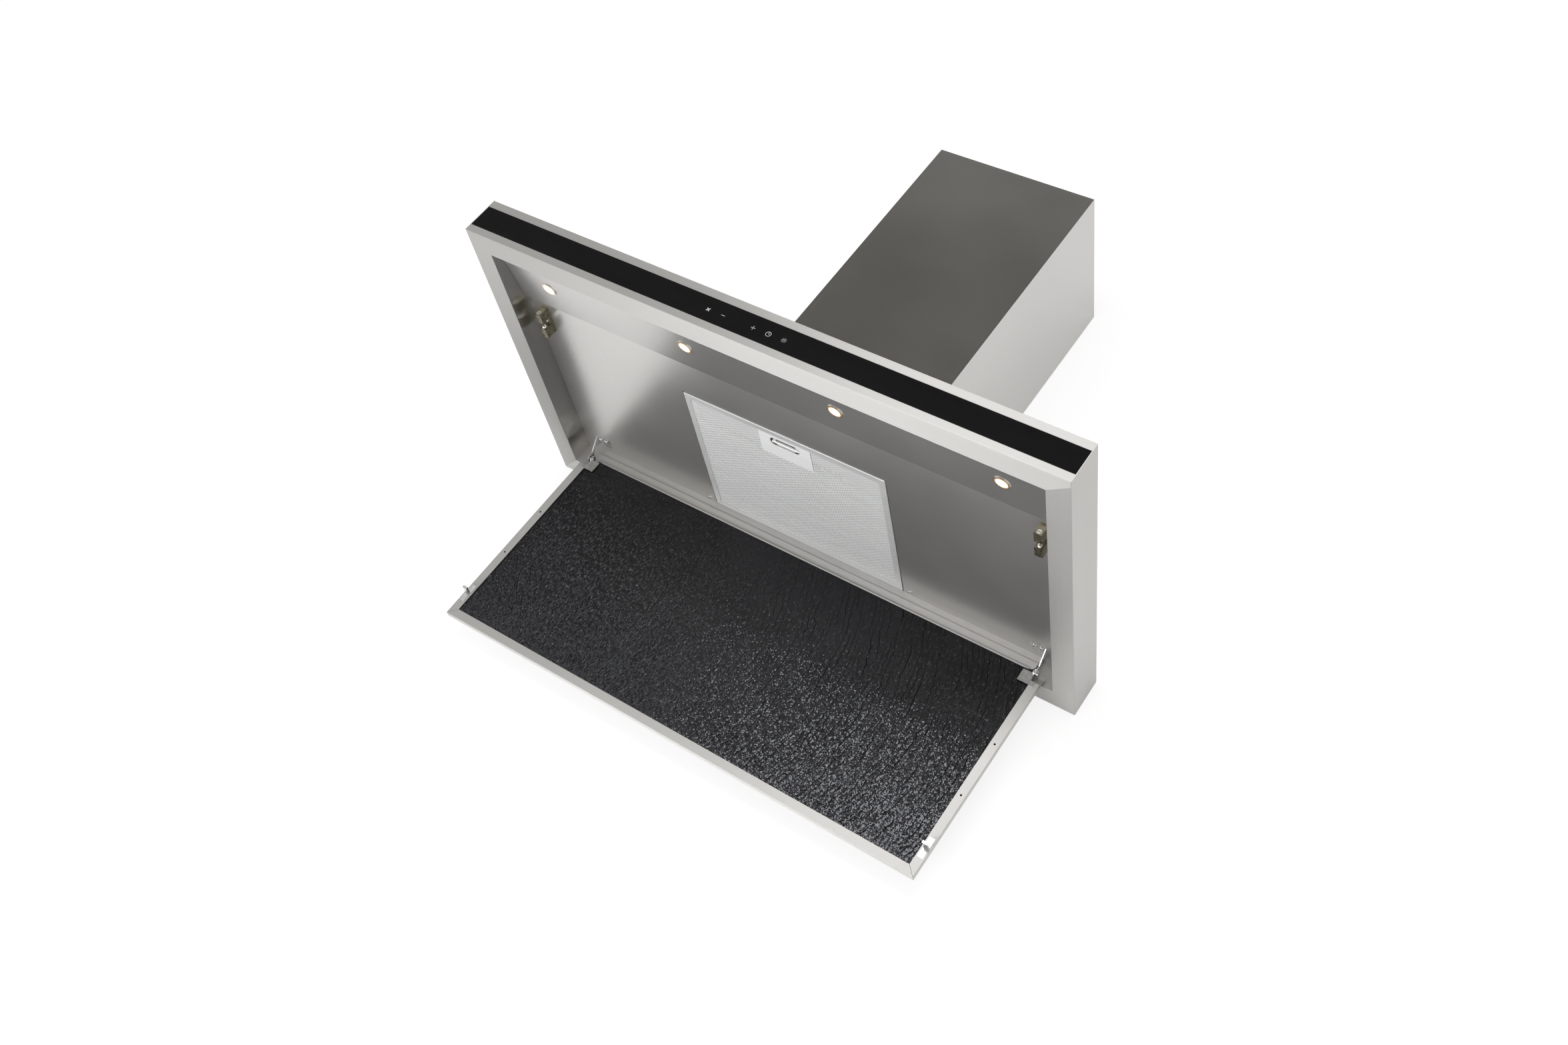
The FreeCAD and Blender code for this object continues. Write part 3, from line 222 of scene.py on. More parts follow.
class HoodStage(bpy.types.PropertyGroup):
    """Floor, lights and camera."""
    floor_size: FloatProperty(name="Floor", description="Side of the floor", subtype="DISTANCE",
                              unit="LENGTH", min=1.0, default=14.0)
    floor_gap: FloatProperty(name="Floor gap",
                             description="Gap between the hood's back and the floor",
                             subtype="DISTANCE", unit="LENGTH", min=0.0, default=0.002)
    shadow: FloatProperty(name="Shadow", description="Share of the floor's look that takes shadow",
                          subtype="FACTOR", min=0.0, max=1.0, default=0.25)
    mirror_shadow: FloatProperty(name="Mirrored shadow",
                                 description="The same where metal mirrors the floor",
                                 subtype="FACTOR", min=0.0, max=1.0, default=0.8)
    white: FloatProperty(name="White",
                         description="Strength of the floor's white, over its shaded share",
                         min=0.0, default=1.08)
    fill: FloatProperty(name="Fill", description="Strength of the light from all sides", min=0.0,
                        default=0.78)
    key_power: FloatProperty(name="Key", description="Power of the soft box", subtype="POWER",
                             unit="POWER", min=0.0, default=15.0)
    key_place: FloatVectorProperty(name="Key place", description="Middle of the soft box",
                                   subtype="XYZ", unit="LENGTH", size=3, default=(0.0, -2.2, 0.1))
    key_width: FloatProperty(name="Key width", description="Length of a soft box",
                             subtype="DISTANCE", unit="LENGTH", min=0.1, default=1.5)
    key_depth: FloatProperty(name="Key depth", description="Height of a soft box",
                             subtype="DISTANCE", unit="LENGTH", min=0.1, default=0.45)
    low_power: FloatProperty(name="Low lamp", description="Power of the soft box under the canopy",
                             subtype="POWER", unit="POWER", min=0.0, default=12.0)
    low_place: FloatVectorProperty(name="Low lamp place",
                                   description="Middle of the soft box under the canopy",
                                   subtype="XYZ", unit="LENGTH", size=3,
                                   default=(-0.55, -0.9, -1.9))
    upper_flag_low: FloatVectorProperty(name="Upper flag low",
                                        description="Lower corner of the upper flag", subtype="XYZ",
                                        unit="LENGTH", size=3, default=(-3.0, -2.4, 0.25))
    upper_flag_high: FloatVectorProperty(name="Upper flag high",
                                         description="Upper corner of the upper flag",
                                         subtype="XYZ", unit="LENGTH", size=3,
                                         default=(1.6, -2.4, 3.2))
    dark_above: FloatProperty(name="Dark above",
                              description="Height where the upper flag is fully dark",
                              subtype="DISTANCE", unit="LENGTH", default=0.85)
    lower_flag_low: FloatVectorProperty(name="Lower flag low",
                                        description="Lower corner of the lower flag", subtype="XYZ",
                                        unit="LENGTH", size=3, default=(-3.0, -2.4, -2.6))
    lower_flag_high: FloatVectorProperty(name="Lower flag high",
                                         description="Upper corner of the lower flag",
                                         subtype="XYZ", unit="LENGTH", size=3,
                                         default=(1.6, -2.4, -0.45))
    camera_place: FloatVectorProperty(name="Camera", description="Place of the camera",
                                      subtype="XYZ", unit="LENGTH", size=3,
                                      default=(0.96614, -1.87932, -1.07821))
    camera_aim: FloatVectorProperty(name="Aim", description="Direction that the camera looks in",
                                    subtype="DIRECTION", size=3,
                                    default=(-0.44085, 0.79355, 0.41944))
    camera_roll: FloatProperty(name="Roll",
                               description="Turn of the camera about its line of sight",
                               subtype="ANGLE", unit="ROTATION", default=math.radians(38.4247))
    camera_lens: FloatProperty(name="Lens",
                               description="Focal length in millimetres on a 36 mm sensor", min=1.0,
                               default=36.392)


class Finish:
    """Node-built material with one surface shader."""

    def __init__(self, name):
        self.material = bpy.data.materials.new(name)
        self.material.use_nodes = True
        self.tree = self.material.node_tree
        self.tree.nodes.clear()
        self.shader = self.add("ShaderNodeBsdfPrincipled")
        output = self.add("ShaderNodeOutputMaterial")
        self.join(self.shader.outputs["BSDF"], output.inputs["Surface"])

    def add(self, kind, **values):
        """New node with some of its sockets set."""
        node = self.tree.nodes.new(kind)
        for socket, value in values.items():
            node.inputs[socket].default_value = value
        return node

    def join(self, source, target):
        """Link between two sockets."""
        self.tree.links.new(source, target)

    def set(self, **values):
        """Plain values on the surface shader, with _ for the blanks in a socket's name."""
        for socket, value in values.items():
            self.shader.inputs[socket.replace("_", " ")].default_value = value

    def drive(self, socket, source):
        """Patterned value on the surface shader."""
        self.join(source, self.shader.inputs[socket])

    def place(self, stretch=(1.0, 1.0, 1.0), turn=(0.0, 0.0, 0.0)):
        """Coordinates on the piece, stretched and turned."""
        mapping = self.add("ShaderNodeMapping", Scale=stretch, Rotation=turn)
        self.join(self.add("ShaderNodeTexCoord").outputs["Object"], mapping.inputs["Vector"])
        return mapping.outputs["Vector"]

    def sideways(self):
        """1 on faces that look along X, 0 on those that look along Y or Z."""
        axes = self.add("ShaderNodeSeparateXYZ")
        self.join(self.add("ShaderNodeTexCoord").outputs["Normal"], axes.inputs["Vector"])
        return self.math("ABSOLUTE", axes.outputs["X"])

    def cloud(self, place, scale, detail=3.0, roughness=0.5):
        """Soft noise from 0 to 1."""
        node = self.add("ShaderNodeTexNoise", Scale=scale, Detail=detail, Roughness=roughness)
        self.join(place, node.inputs["Vector"])
        return node.outputs["Fac"]

    def cells(self, place, scale, feature="F1"):
        """Cell pattern, 0 in the middle of each cell."""
        node = self.add("ShaderNodeTexVoronoi", Scale=scale)
        node.feature = feature
        self.join(place, node.inputs["Vector"])
        return node.outputs["Distance"]

    def facets(self, place):
        """Slopes of small flat facets, each tilted its own way."""
        node = self.add("ShaderNodeTexVoronoi", Scale=1.0)
        self.join(place, node.inputs["Vector"])
        away = self.vector("SUBTRACT", place, node.outputs["Position"])
        tilt = self.vector("SUBTRACT", node.outputs["Color"], (0.5, 0.5, 0.5))
        slope = self.vector("DOT_PRODUCT", away.outputs["Vector"], tilt.outputs["Vector"])
        return slope.outputs["Value"]

    def span(self, source, low, high, start=0.0, end=1.0):
        """Pattern brought to another range."""
        node = self.add("ShaderNodeMapRange")
        for socket, value in (("From Min", start), ("From Max", end),
                              ("To Min", low), ("To Max", high)):
            node.inputs[socket].default_value = value
        self.join(source, node.inputs["Value"])
        return node.outputs["Result"]

    def shades(self, source, *stops):
        """Colours along a pattern."""
        node = self.add("ShaderNodeValToRGB")
        while len(node.color_ramp.elements) < len(stops):
            node.color_ramp.elements.new(0.5)
        for element, (position, colour) in zip(node.color_ramp.elements, stops):
            element.position = position
            element.color = (*colour, 1.0)
        self.join(source, node.inputs["Fac"])
        return node.outputs["Color"]

    def attribute(self, name):
        """Values that the mesh carries."""
        node = self.add("ShaderNodeAttribute")
        node.attribute_name = name
        return node.outputs["Fac"]

    def math(self, operation, first, second=None):
        """Arithmetic on a pattern, with a plain number or a second pattern."""
        node = self.add("ShaderNodeMath")
        node.operation = operation
        self.join(first, node.inputs[0])
        if isinstance(second, bpy.types.NodeSocket):
            self.join(second, node.inputs[1])
        elif second is not None:
            node.inputs[1].default_value = second
        return node.outputs["Value"]

    def vector(self, operation, *values):
        """Vector arithmetic on patterns and plain vectors."""
        node = self.add("ShaderNodeVectorMath")
        node.operation = operation
        for socket, value in zip(node.inputs, values):
            if isinstance(value, bpy.types.NodeSocket):
                self.join(value, socket)
            else:
                socket.default_value = value
        return node

    def from_lamp(self, pitch, middle, radius):
        """Distance from the nearest lamp's middle, 1 at its lens's rim."""
        row = self.vector("WRAP", self.place(), (pitch, 1.0, 1.0), (0.0, -1.0, -1.0))
        away = self.vector("DISTANCE", row.outputs["Vector"], (pitch / 2, middle.y, middle.z))
        return self.math("DIVIDE", away.outputs["Value"], radius)

    def sum(self, first, second, weight=1.0):
        """First pattern plus a share of the second."""
        node = self.add("ShaderNodeMath")
        node.operation = "MULTIPLY_ADD"
        self.join(second, node.inputs[0])
        node.inputs[1].default_value = weight
        self.join(first, node.inputs[2])
        return node.outputs["Value"]

    def relief(self, height, depth, strength=1.0):
        """Bumps on the surface shader."""
        node = self.add("ShaderNodeBump", Distance=depth, Strength=strength)
        self.join(height, node.inputs["Height"])
        self.drive("Normal", node.outputs["Normal"])


def toned(colour, factor):
    """Colour made lighter or darker."""
    return tuple(min(1.0, part * factor) for part in colour)


def one_way(axis, along, across):
    """Three numbers: one for an axis (0, 1 or 2) and another for the other two."""
    return [along if i == axis else across for i in range(3)]


def brushed(name, sheet, metal, axis, roughness, pull, streaks, wall=None):
    """Brushed sheet whose grain runs along one axis, smoother on side walls where asked."""
    finish = Finish(name)
    scratches = finish.cloud(finish.place(one_way(axis, *SCRATCHES)), 1.0, detail=2.0)
    bands = finish.cloud(finish.place(one_way(axis, *BANDS)), 1.0, detail=1.0)
    haze = finish.cloud(finish.place(), 5.0, detail=2.0)
    grain = finish.sum(finish.sum(haze, bands, streaks), scratches, streaks)
    middle = 0.5 + streaks
    reach = 0.25 + 0.25 * streaks
    tone = finish.span(grain, 0.0, 1.0, middle - reach, middle + reach)
    dark, light = toned(sheet.colour, 0.96), toned(sheet.colour, 1.04)
    finish.drive("Base Color", finish.shades(tone, (0.0, dark), (1.0, light)))
    rough = finish.span(tone, roughness - 0.03, roughness + 0.03)
    if wall is not None:
        smoother = finish.span(finish.sideways(), 1.0, wall / roughness, 0.8, 0.95)
        rough = finish.math("MULTIPLY", rough, smoother)
    finish.drive("Roughness", rough)
    finish.set(Metallic=metal, Anisotropic=pull, Anisotropic_Rotation=SPREAD_TURN)
    sway, slant = 0.02, 0.03
    along = one_way(axis, 1.0, 0.0)
    along[(axis + 2) % 3] = slant
    waver = finish.add("ShaderNodeTexNoise", Scale=60.0, Detail=1.0)
    finish.join(finish.place(), waver.inputs["Vector"])
    lean = finish.vector("MULTIPLY_ADD", waver.outputs["Color"], (sway, sway, sway), along)
    finish.drive("Tangent", lean.outputs["Vector"])
    finish.relief(scratches, sheet.grain_depth, 0.5)
    return finish.material


def black_glass(colour):
    """Black touch glass with the faintest smears."""
    finish = Finish("black_touch_glass")
    smears = finish.cloud(finish.place((3.0, 3.0, 12.0)), 5.0, detail=5.0)
    finish.drive("Roughness", finish.span(smears, 0.03, 0.07, 0.3, 0.8))
    finish.drive("Base Color", finish.shades(smears, (0.3, colour), (0.8, toned(colour, 1.5))))
    return finish.material


def printed_mark(colour):
    """Printed marks on the glass, a little uneven."""
    finish = Finish("printed_mark")
    wear = finish.cloud(finish.place(), 900.0, detail=2.0)
    finish.drive("Base Color", finish.shades(wear, (0.2, toned(colour, 0.85)), (0.8, colour)))
    finish.drive("Roughness", finish.span(wear, 0.35, 0.55))
    return finish.material


def foam_skin(foam):
    """Glossy pebbled skin of the acoustic mat, cut by thin creases, with painted shade in the
    creases.
    """
    finish = Finish("foam_skin")
    part = finish.math("FRACT", finish.attribute("crease_run"))
    aside = finish.math("ABSOLUTE", finish.math("SUBTRACT", part, 0.5))
    line = finish.span(aside, 1.0, 0.0, 0.01, 0.05)
    crease = finish.math("MULTIPLY", line, finish.attribute("crease_share"))
    fine = 1.0 / foam.wrinkle
    pebbles = finish.facets(finish.place((fine, fine, fine)))
    folds = finish.cloud(finish.place((fine / 1.8, fine / 1.8, fine / 4.4)), 1.0, detail=1.0)
    wrinkles = finish.sum(finish.span(folds, 0.0, 0.8, 0.56, 0.72), pebbles, 0.42)
    patches = finish.cloud(finish.place(), 18.0, detail=2.0)
    # Painted shade: the creases darken the skin's colour towards a tenth of it, for the shade in
    # their valleys.
    tone = finish.sum(finish.span(patches, 0.6, 1.0, *USUAL), crease, -0.9)
    dark = toned(foam.colour, 0.1)
    finish.drive("Base Color", finish.shades(tone, (0.0, dark), (1.0, foam.colour)))
    finish.drive("Roughness", finish.sum(finish.span(patches, 0.09, 0.14, *USUAL), crease, 0.3))
    # Painted shade as well: the creases lose most of their gloss.
    finish.drive("Specular IOR Level", finish.span(crease, 0.5, 0.0, 0.0, 0.8))
    finish.set(Specular_Tint=(0.93, 0.94, 1.0, 1.0))
    finish.relief(finish.sum(wrinkles, crease, -2.0), foam.wrinkle_depth)
    return finish.material


def filter_metal(name, colour, roughness, scale, metal):
    """Satin aluminium with fine rolling marks."""
    finish = Finish(name)
    rolling = finish.cloud(finish.place((8.0, 260.0, 260.0)), 1.0, detail=3.0)
    specks = finish.cloud(finish.place(), scale, detail=3.0)
    marks = finish.sum(rolling, specks, 0.6)
    dark, light = toned(colour, 0.92), toned(colour, 1.04)
    tone = finish.span(marks, 0.0, 1.0, 0.5, 1.1)
    finish.drive("Base Color", finish.shades(tone, (0.0, dark), (1.0, light)))
    finish.drive("Roughness", finish.span(marks, roughness - 0.06, roughness + 0.06, 0.5, 1.1))
    finish.set(Metallic=metal)
    finish.relief(specks, 0.00006, 0.4)
    return finish.material


def filter_layers(sizes):
    """Inner layers of expanded mesh, seen through the front one, with painted shade inside the
    filter.
    """
    finish = Finish("filter_layers")
    per_metre = (1.0 / sizes.long_way, 1.0 / sizes.short_way, 400.0)
    strands = finish.cells(finish.place(per_metre, (0.0, 0.0, 0.06)), 1.0, "DISTANCE_TO_EDGE")
    depth = finish.cloud(finish.place(), 240.0, detail=2.0)
    web = finish.sum(finish.span(strands, 1.0, 0.0, 0.02, 0.3), depth, 0.5)
    # Painted shade: the aluminium is darkened to between a twentieth and a quarter of its colour
    # for the shade deep in the filter, darkest in the holes between the strands, and soft noise
    # varies it.
    dark, light = toned(sizes.colour, 0.05), toned(sizes.colour, 0.25)
    finish.drive("Base Color", finish.shades(web, (0.1, dark), (1.0, light)))
    finish.drive("Roughness", finish.span(web, 0.55, 0.35))
    finish.set(Metallic=0.4)
    finish.relief(web, 0.0006, 0.8)
    return finish.material


def plated_steel():
    """Zinc-plated sheet with a faint spangle."""
    finish = Finish("plated_steel")
    spangle = finish.cells(finish.place(), 160.0)
    haze = finish.cloud(finish.place(), 45.0, detail=4.0)
    tone = finish.sum(finish.span(spangle, 0.0, 0.5, 0.0, 0.8), haze, 0.8)
    dark, light = (0.66, 0.665, 0.67), (0.82, 0.825, 0.83)
    finish.drive("Base Color", finish.shades(tone, (0.2, dark), (0.9, light)))
    finish.drive("Roughness", finish.span(tone, 0.16, 0.30, 0.2, 0.9))
    finish.set(Metallic=1.0)
    finish.relief(haze, 0.00008, 0.3)
    return finish.material


def bright_metal(name):
    """Polished nickel of pins, balls and screws, with light scuffs."""
    finish = Finish(name)
    scuffs = finish.cloud(finish.place((400.0, 90.0, 220.0)), 1.0, detail=5.0, roughness=0.7)
    dark, light = (0.70, 0.69, 0.67), (0.87, 0.865, 0.85)
    finish.drive("Base Color", finish.shades(scuffs, (0.25, dark), (0.7, light)))
    finish.drive("Roughness", finish.span(scuffs, 0.12, 0.30, 0.3, 0.75))
    finish.set(Metallic=1.0)
    finish.relief(scuffs, 0.00004, 0.3)
    return finish.material


def dull_bronze():
    """Dull bronzed housing of the ball catches."""
    finish = Finish("dull_bronze")
    patina = finish.cloud(finish.place(), 240.0, detail=5.0, roughness=0.6)
    dark, light = (0.20, 0.175, 0.115), (0.40, 0.365, 0.27)
    finish.drive("Base Color", finish.shades(patina, (0.3, dark), (0.75, light)))
    finish.drive("Roughness", finish.span(patina, 0.22, 0.42, 0.3, 0.75))
    finish.set(Metallic=0.9)
    finish.relief(patina, 0.0001, 0.4)
    return finish.material


def lamp_metal(pitch, middle, radius):
    """Satin lamp flange with turning marks, and a painted warm glow round each lens."""
    finish = Finish("lamp_flange")
    turning = finish.cloud(finish.place((500.0, 500.0, 30.0)), 1.0, detail=3.0)
    # Painted glow: the flange's emission is a warm halo painted round each lens, fading to black
    # away from it, though the flange is no lamp.
    painted_halo = finish.sum(finish.from_lamp(pitch, middle, radius), turning, 0.1)
    warm, ember, black = (1.0, 0.72, 0.40), (0.25, 0.13, 0.05), (0.0, 0.0, 0.0)
    beyond = finish.math("SUBTRACT", painted_halo, 1.0)
    glow = finish.shades(beyond, (0.0, warm), (0.25, ember), (0.5, black))
    finish.drive("Emission Color", glow)
    dark, light = (0.66, 0.65, 0.63), (0.80, 0.79, 0.77)
    finish.drive("Base Color", finish.shades(turning, (0.25, dark), (0.75, light)))
    finish.drive("Roughness", finish.span(turning, 0.22, 0.38, *USUAL))
    finish.set(Metallic=1.0, Emission_Strength=0.8)
    finish.relief(turning, 0.00005, 0.3)
    return finish.material


def lamp_glow(pitch, middle, radius):
    """Frosted lens, lit, white in its middle and warm towards its rim."""
    finish = Finish("lamp_lens_lit")
    frost = finish.cloud(finish.place(), 700.0, detail=3.0)
    reach = finish.sum(finish.from_lamp(pitch, middle, radius), frost, 0.1)
    dark, light = (0.95, 0.88, 0.74), (1.0, 0.95, 0.85)
    finish.drive("Base Color", finish.shades(frost, (0.2, dark), (0.8, light)))
    white, warm, ember = (1.0, 0.92, 0.78), (0.55, 0.34, 0.13), (0.24, 0.11, 0.03)
    glow = finish.shades(reach, (0.55, white), (0.85, warm), (1.0, ember))
    finish.drive("Emission Color", glow)
    finish.drive("Roughness", finish.span(frost, 0.3, 0.5))
    finish.set(Emission_Strength=5.0)
    finish.relief(frost, 0.0001, 0.3)
    return finish.material


def moulded(name, colour, roughness):
    """Moulded plastic with a fine spark-eroded grain."""
    finish = Finish(name)
    grain = finish.cells(finish.place(), 900.0)
    haze = finish.cloud(finish.place(), 25.0, detail=3.0)
    dark, light = toned(colour, 0.85), toned(colour, 1.15)
    finish.drive("Base Color", finish.shades(haze, (0.3, dark), (0.75, light)))
    finish.drive("Roughness", finish.span(haze, roughness, roughness + 0.12, *USUAL))
    finish.relief(grain, 0.00012, 0.5)
    return finish.material


def circuit_board():
    """Green board with paler tracks."""
    finish = Finish("circuit_board")
    tracks = finish.cells(finish.place((90.0, 400.0, 260.0)), 1.0, "DISTANCE_TO_EDGE")
    track, board = (0.16, 0.30, 0.12), (0.02, 0.11, 0.045)
    finish.drive("Base Color", finish.shades(tracks, (0.03, track), (0.06, board)))
    finish.drive("Roughness", finish.span(tracks, 0.30, 0.50, 0.0, 0.4))
    finish.relief(tracks, 0.0001, 0.4)
    return finish.material


def motor_paint():
    """Grey motor paint with a little orange peel."""
    finish = Finish("motor_paint")
    peel = finish.cloud(finish.place(), 420.0, detail=2.0)
    dust = finish.cloud(finish.place(), 30.0, detail=4.0)
    dark, light = (0.20, 0.21, 0.22), (0.27, 0.28, 0.29)
    finish.drive("Base Color", finish.shades(dust, (0.3, dark), (0.8, light)))
    finish.drive("Roughness", finish.span(dust, 0.38, 0.55, *USUAL))
    finish.relief(peel, 0.0002, 0.4)
    return finish.material


def dress(names, material):
    """Gives CAD nodes their finish."""
    for name in names:
        for slot in NODES[name].material_slots:
            slot.material = material


def deselect():
    """Leaves edit mode and selects nothing."""
    if bpy.context.mode != "OBJECT":
        bpy.ops.object.mode_set(mode="OBJECT")
    bpy.ops.object.select_all(action="DESELECT")


def only(piece):
    """Selects one piece and makes it active."""
    deselect()
    piece.select_set(True)
    bpy.context.view_layer.objects.active = piece


def settle(piece, name):
    """Names a piece and puts its place and size into its mesh."""
    only(piece)
    bpy.ops.object.transform_apply(location=True, rotation=True, scale=True)
    piece.name = name
    piece.data.name = name


def edit_faces(piece, test):
    """Opens a piece in edit mode with the faces selected that pass a test."""
    only(piece)
    bpy.context.tool_settings.mesh_select_mode = (False, False, True)
    mesh = piece.data
    points = [vertex.co for vertex in mesh.vertices]
    mesh.vertices.foreach_set("select", [False] * len(mesh.vertices))
    mesh.edges.foreach_set("select", [False] * len(mesh.edges))
    for face in mesh.polygons:
        face.select = test([points[i] for i in face.vertices])
    bpy.ops.object.mode_set(mode="EDIT")


def edit_all(piece):
    """Opens a piece in edit mode with all its faces selected."""
    edit_faces(piece, lambda points: True)


def clamped(value):
    """Value held between 0 and 1."""
    return min(1.0, max(0.0, value))


def ripple(x, z, layer, across, up=None):
    """Noise from -1 to 1 on the mat, by its waves per metre; each layer is a pattern of its own."""
    return noise.noise(Vector((x * across, z * (across if up is None else up), layer)))


def creases(x, z, foam):
    """Running count of the long creases that bow from hinge to free edge, and how open they are."""
    wander = 0.004 * ripple(x, z, 3.7, 25.0) + 0.0022 * ripple(x, z, 8.1, 110.0)
    run = (x + foam.crease_bow * (z - foam.crease_turn) ** 2 + wander) / foam.crease_pitch
    run += 0.6 * ripple(x, z, 1.3, 40.0, 14.0)
    patches = 0.5 + 0.5 * ripple(x, z, 11.0, 9.0, 12.0)
    broken = 0.7 + 1.6 * ripple(run, z / foam.crease_length, 6.0, 0.9, 1.0)
    grown = clamped((x - CREASES_BEGIN) / CREASES_GROW)
    return run, grown * clamped(broken) * clamped(0.45 + 1.1 * patches)


def corner_folds(x, z, foam):
    """Running count of the loose folds beside the left striker, and how open they are."""
    across, along = x - foam.fold_x, z - foam.fold_z
    curl = 0.022 * ripple(x, z, 2.0, 24.0)
    run = (FOLDS_ACROSS[0] * across + FOLDS_ACROSS[1] * along + curl) / foam.crease_pitch
    broken = 0.4 + 2.6 * ripple(run, z, 21.0, 0.9, 26.0)
    near = clamped(2.5 - 2.5 * math.hypot(across, 1.15 * along) / foam.fold_reach)
    return run, near * clamped(broken)


def skin(x, z, foam, low):
    """Height of the mat's skin at one place, the running count of its creases and their opening."""
    lines = corner_folds if x < foam.fold_x + foam.fold_reach else creases
    run, share = lines(x, z, foam)
    aside = abs(run - math.floor(run) - 0.5) * foam.crease_pitch
    valley = share * clamped(1.0 - 2.0 * aside / foam.crease_width)
    height = foam.swell * ripple(x, z, 17.0, 22.0)
    gap = z - low.z - foam.lip
    lobes = 0.5 + 0.5 * ripple(x, 0.0, 29.0, 26.0)
    puff = clamped(1.0 - abs(gap / foam.edge_roll - 0.7)) * clamped(2.0 + 5.0 * x)
    height += 2.0 * foam.swell * puff * lobes
    return min(height, foam.swell) - foam.crease_depth * valley, run, share


class HOOD_OT_sheet(bpy.types.Operator):
    """Brushed stainless finish of the canopy, rails, ceiling, flap and chimney"""
    bl_idname = "hood.sheet"
    bl_label = "Stainless sheet"

    def execute(self, context):
        sheet = context.scene.hood_steel
        faint = sheet.pull / 4
        dress(GRAIN_ACROSS, brushed("stainless_grain_across", sheet, sheet.metal, axis=0,
                                    roughness=sheet.roughness, pull=sheet.pull, streaks=0.5))
        dress(GRAIN_DEEP, brushed("stainless_grain_deep", sheet, sheet.metal, axis=1,
                                  roughness=sheet.roughness, pull=sheet.pull, streaks=0.3))
        dress(GRAIN_WALLED, brushed("stainless_grain_walled", sheet, 1.0, axis=1,
                                    roughness=sheet.roughness, pull=sheet.pull, streaks=0.3,
                                    wall=sheet.wall))
        dress(GRAIN_FAINT, brushed("stainless_grain_faint", sheet, sheet.metal, axis=1,
                                   roughness=sheet.roughness, pull=faint, streaks=0.3,
                                   wall=sheet.wall))
        dress(ROLLED, brushed("stainless_rolled", sheet, sheet.recess_metal, axis=0,
                              roughness=sheet.smooth, pull=faint, streaks=0.05))
        dress(("chimney_cover",), brushed("stainless_chimney", sheet, 1.0, axis=0,
                                          roughness=sheet.smooth * 0.75, pull=faint, streaks=0.2))
        return {"FINISHED"}


class HOOD_OT_glass(bpy.types.Operator):
    """Black touch glass and the board behind it"""
    bl_idname = "hood.glass"
    bl_label = "Touch glass"

    def execute(self, context):
        dress(("control_glass",), black_glass(context.scene.hood_glass.colour))
        dress(("control_board",), circuit_board())
        return {"FINISHED"}


def printed_bar(x, z, length, width, turn):
    """Flat bar with rounded ends, upright on the glass."""
    deselect()
    bpy.ops.mesh.primitive_plane_add(size=1.0, location=(x, 0.0, z),
                                     rotation=(QUARTER_TURN, turn, 0.0))
    bar = bpy.context.active_object
    bar.scale = (length, width, 1.0)
    settle(bar, "mark")
    edit_all(bar)
    bpy.ops.mesh.bevel(offset=width * BAR_ROUNDING, segments=3, affect="VERTICES")
    bpy.ops.object.mode_set(mode="OBJECT")
    return bar


def printed_ring(x, z, radius, width):
    """Flat ring, upright on the glass."""
    deselect()
    bpy.ops.mesh.primitive_circle_add(vertices=RING_SIDES, radius=radius, fill_type="NGON",
                                      location=(x, 0.0, z), rotation=(QUARTER_TURN, 0.0, 0.0))
    ring = bpy.context.active_object
    settle(ring, "mark")
    edit_all(ring)
    bpy.ops.mesh.inset(thickness=width)
    bpy.ops.mesh.delete(type="FACE")
    bpy.ops.object.mode_set(mode="OBJECT")
    return ring


def printed_blade(x, z, length, width, turn):
    """Rounded fan blade beside the middle of its mark."""
    reach = length * 0.62
    place = (x + reach * math.cos(turn), 0.0, z + reach * math.sin(turn))
    deselect()
    bpy.ops.mesh.primitive_circle_add(vertices=BLADE_SIDES, radius=0.5, fill_type="NGON",
                                      location=place, rotation=(QUARTER_TURN, -turn, 0.0))
    blade = bpy.context.active_object
    blade.scale = (length, width, 1.0)
    settle(blade, "mark")
    edit_all(blade)
    bpy.ops.mesh.inset(thickness=width / 6)
    bpy.ops.object.mode_set(mode="OBJECT")
    return blade


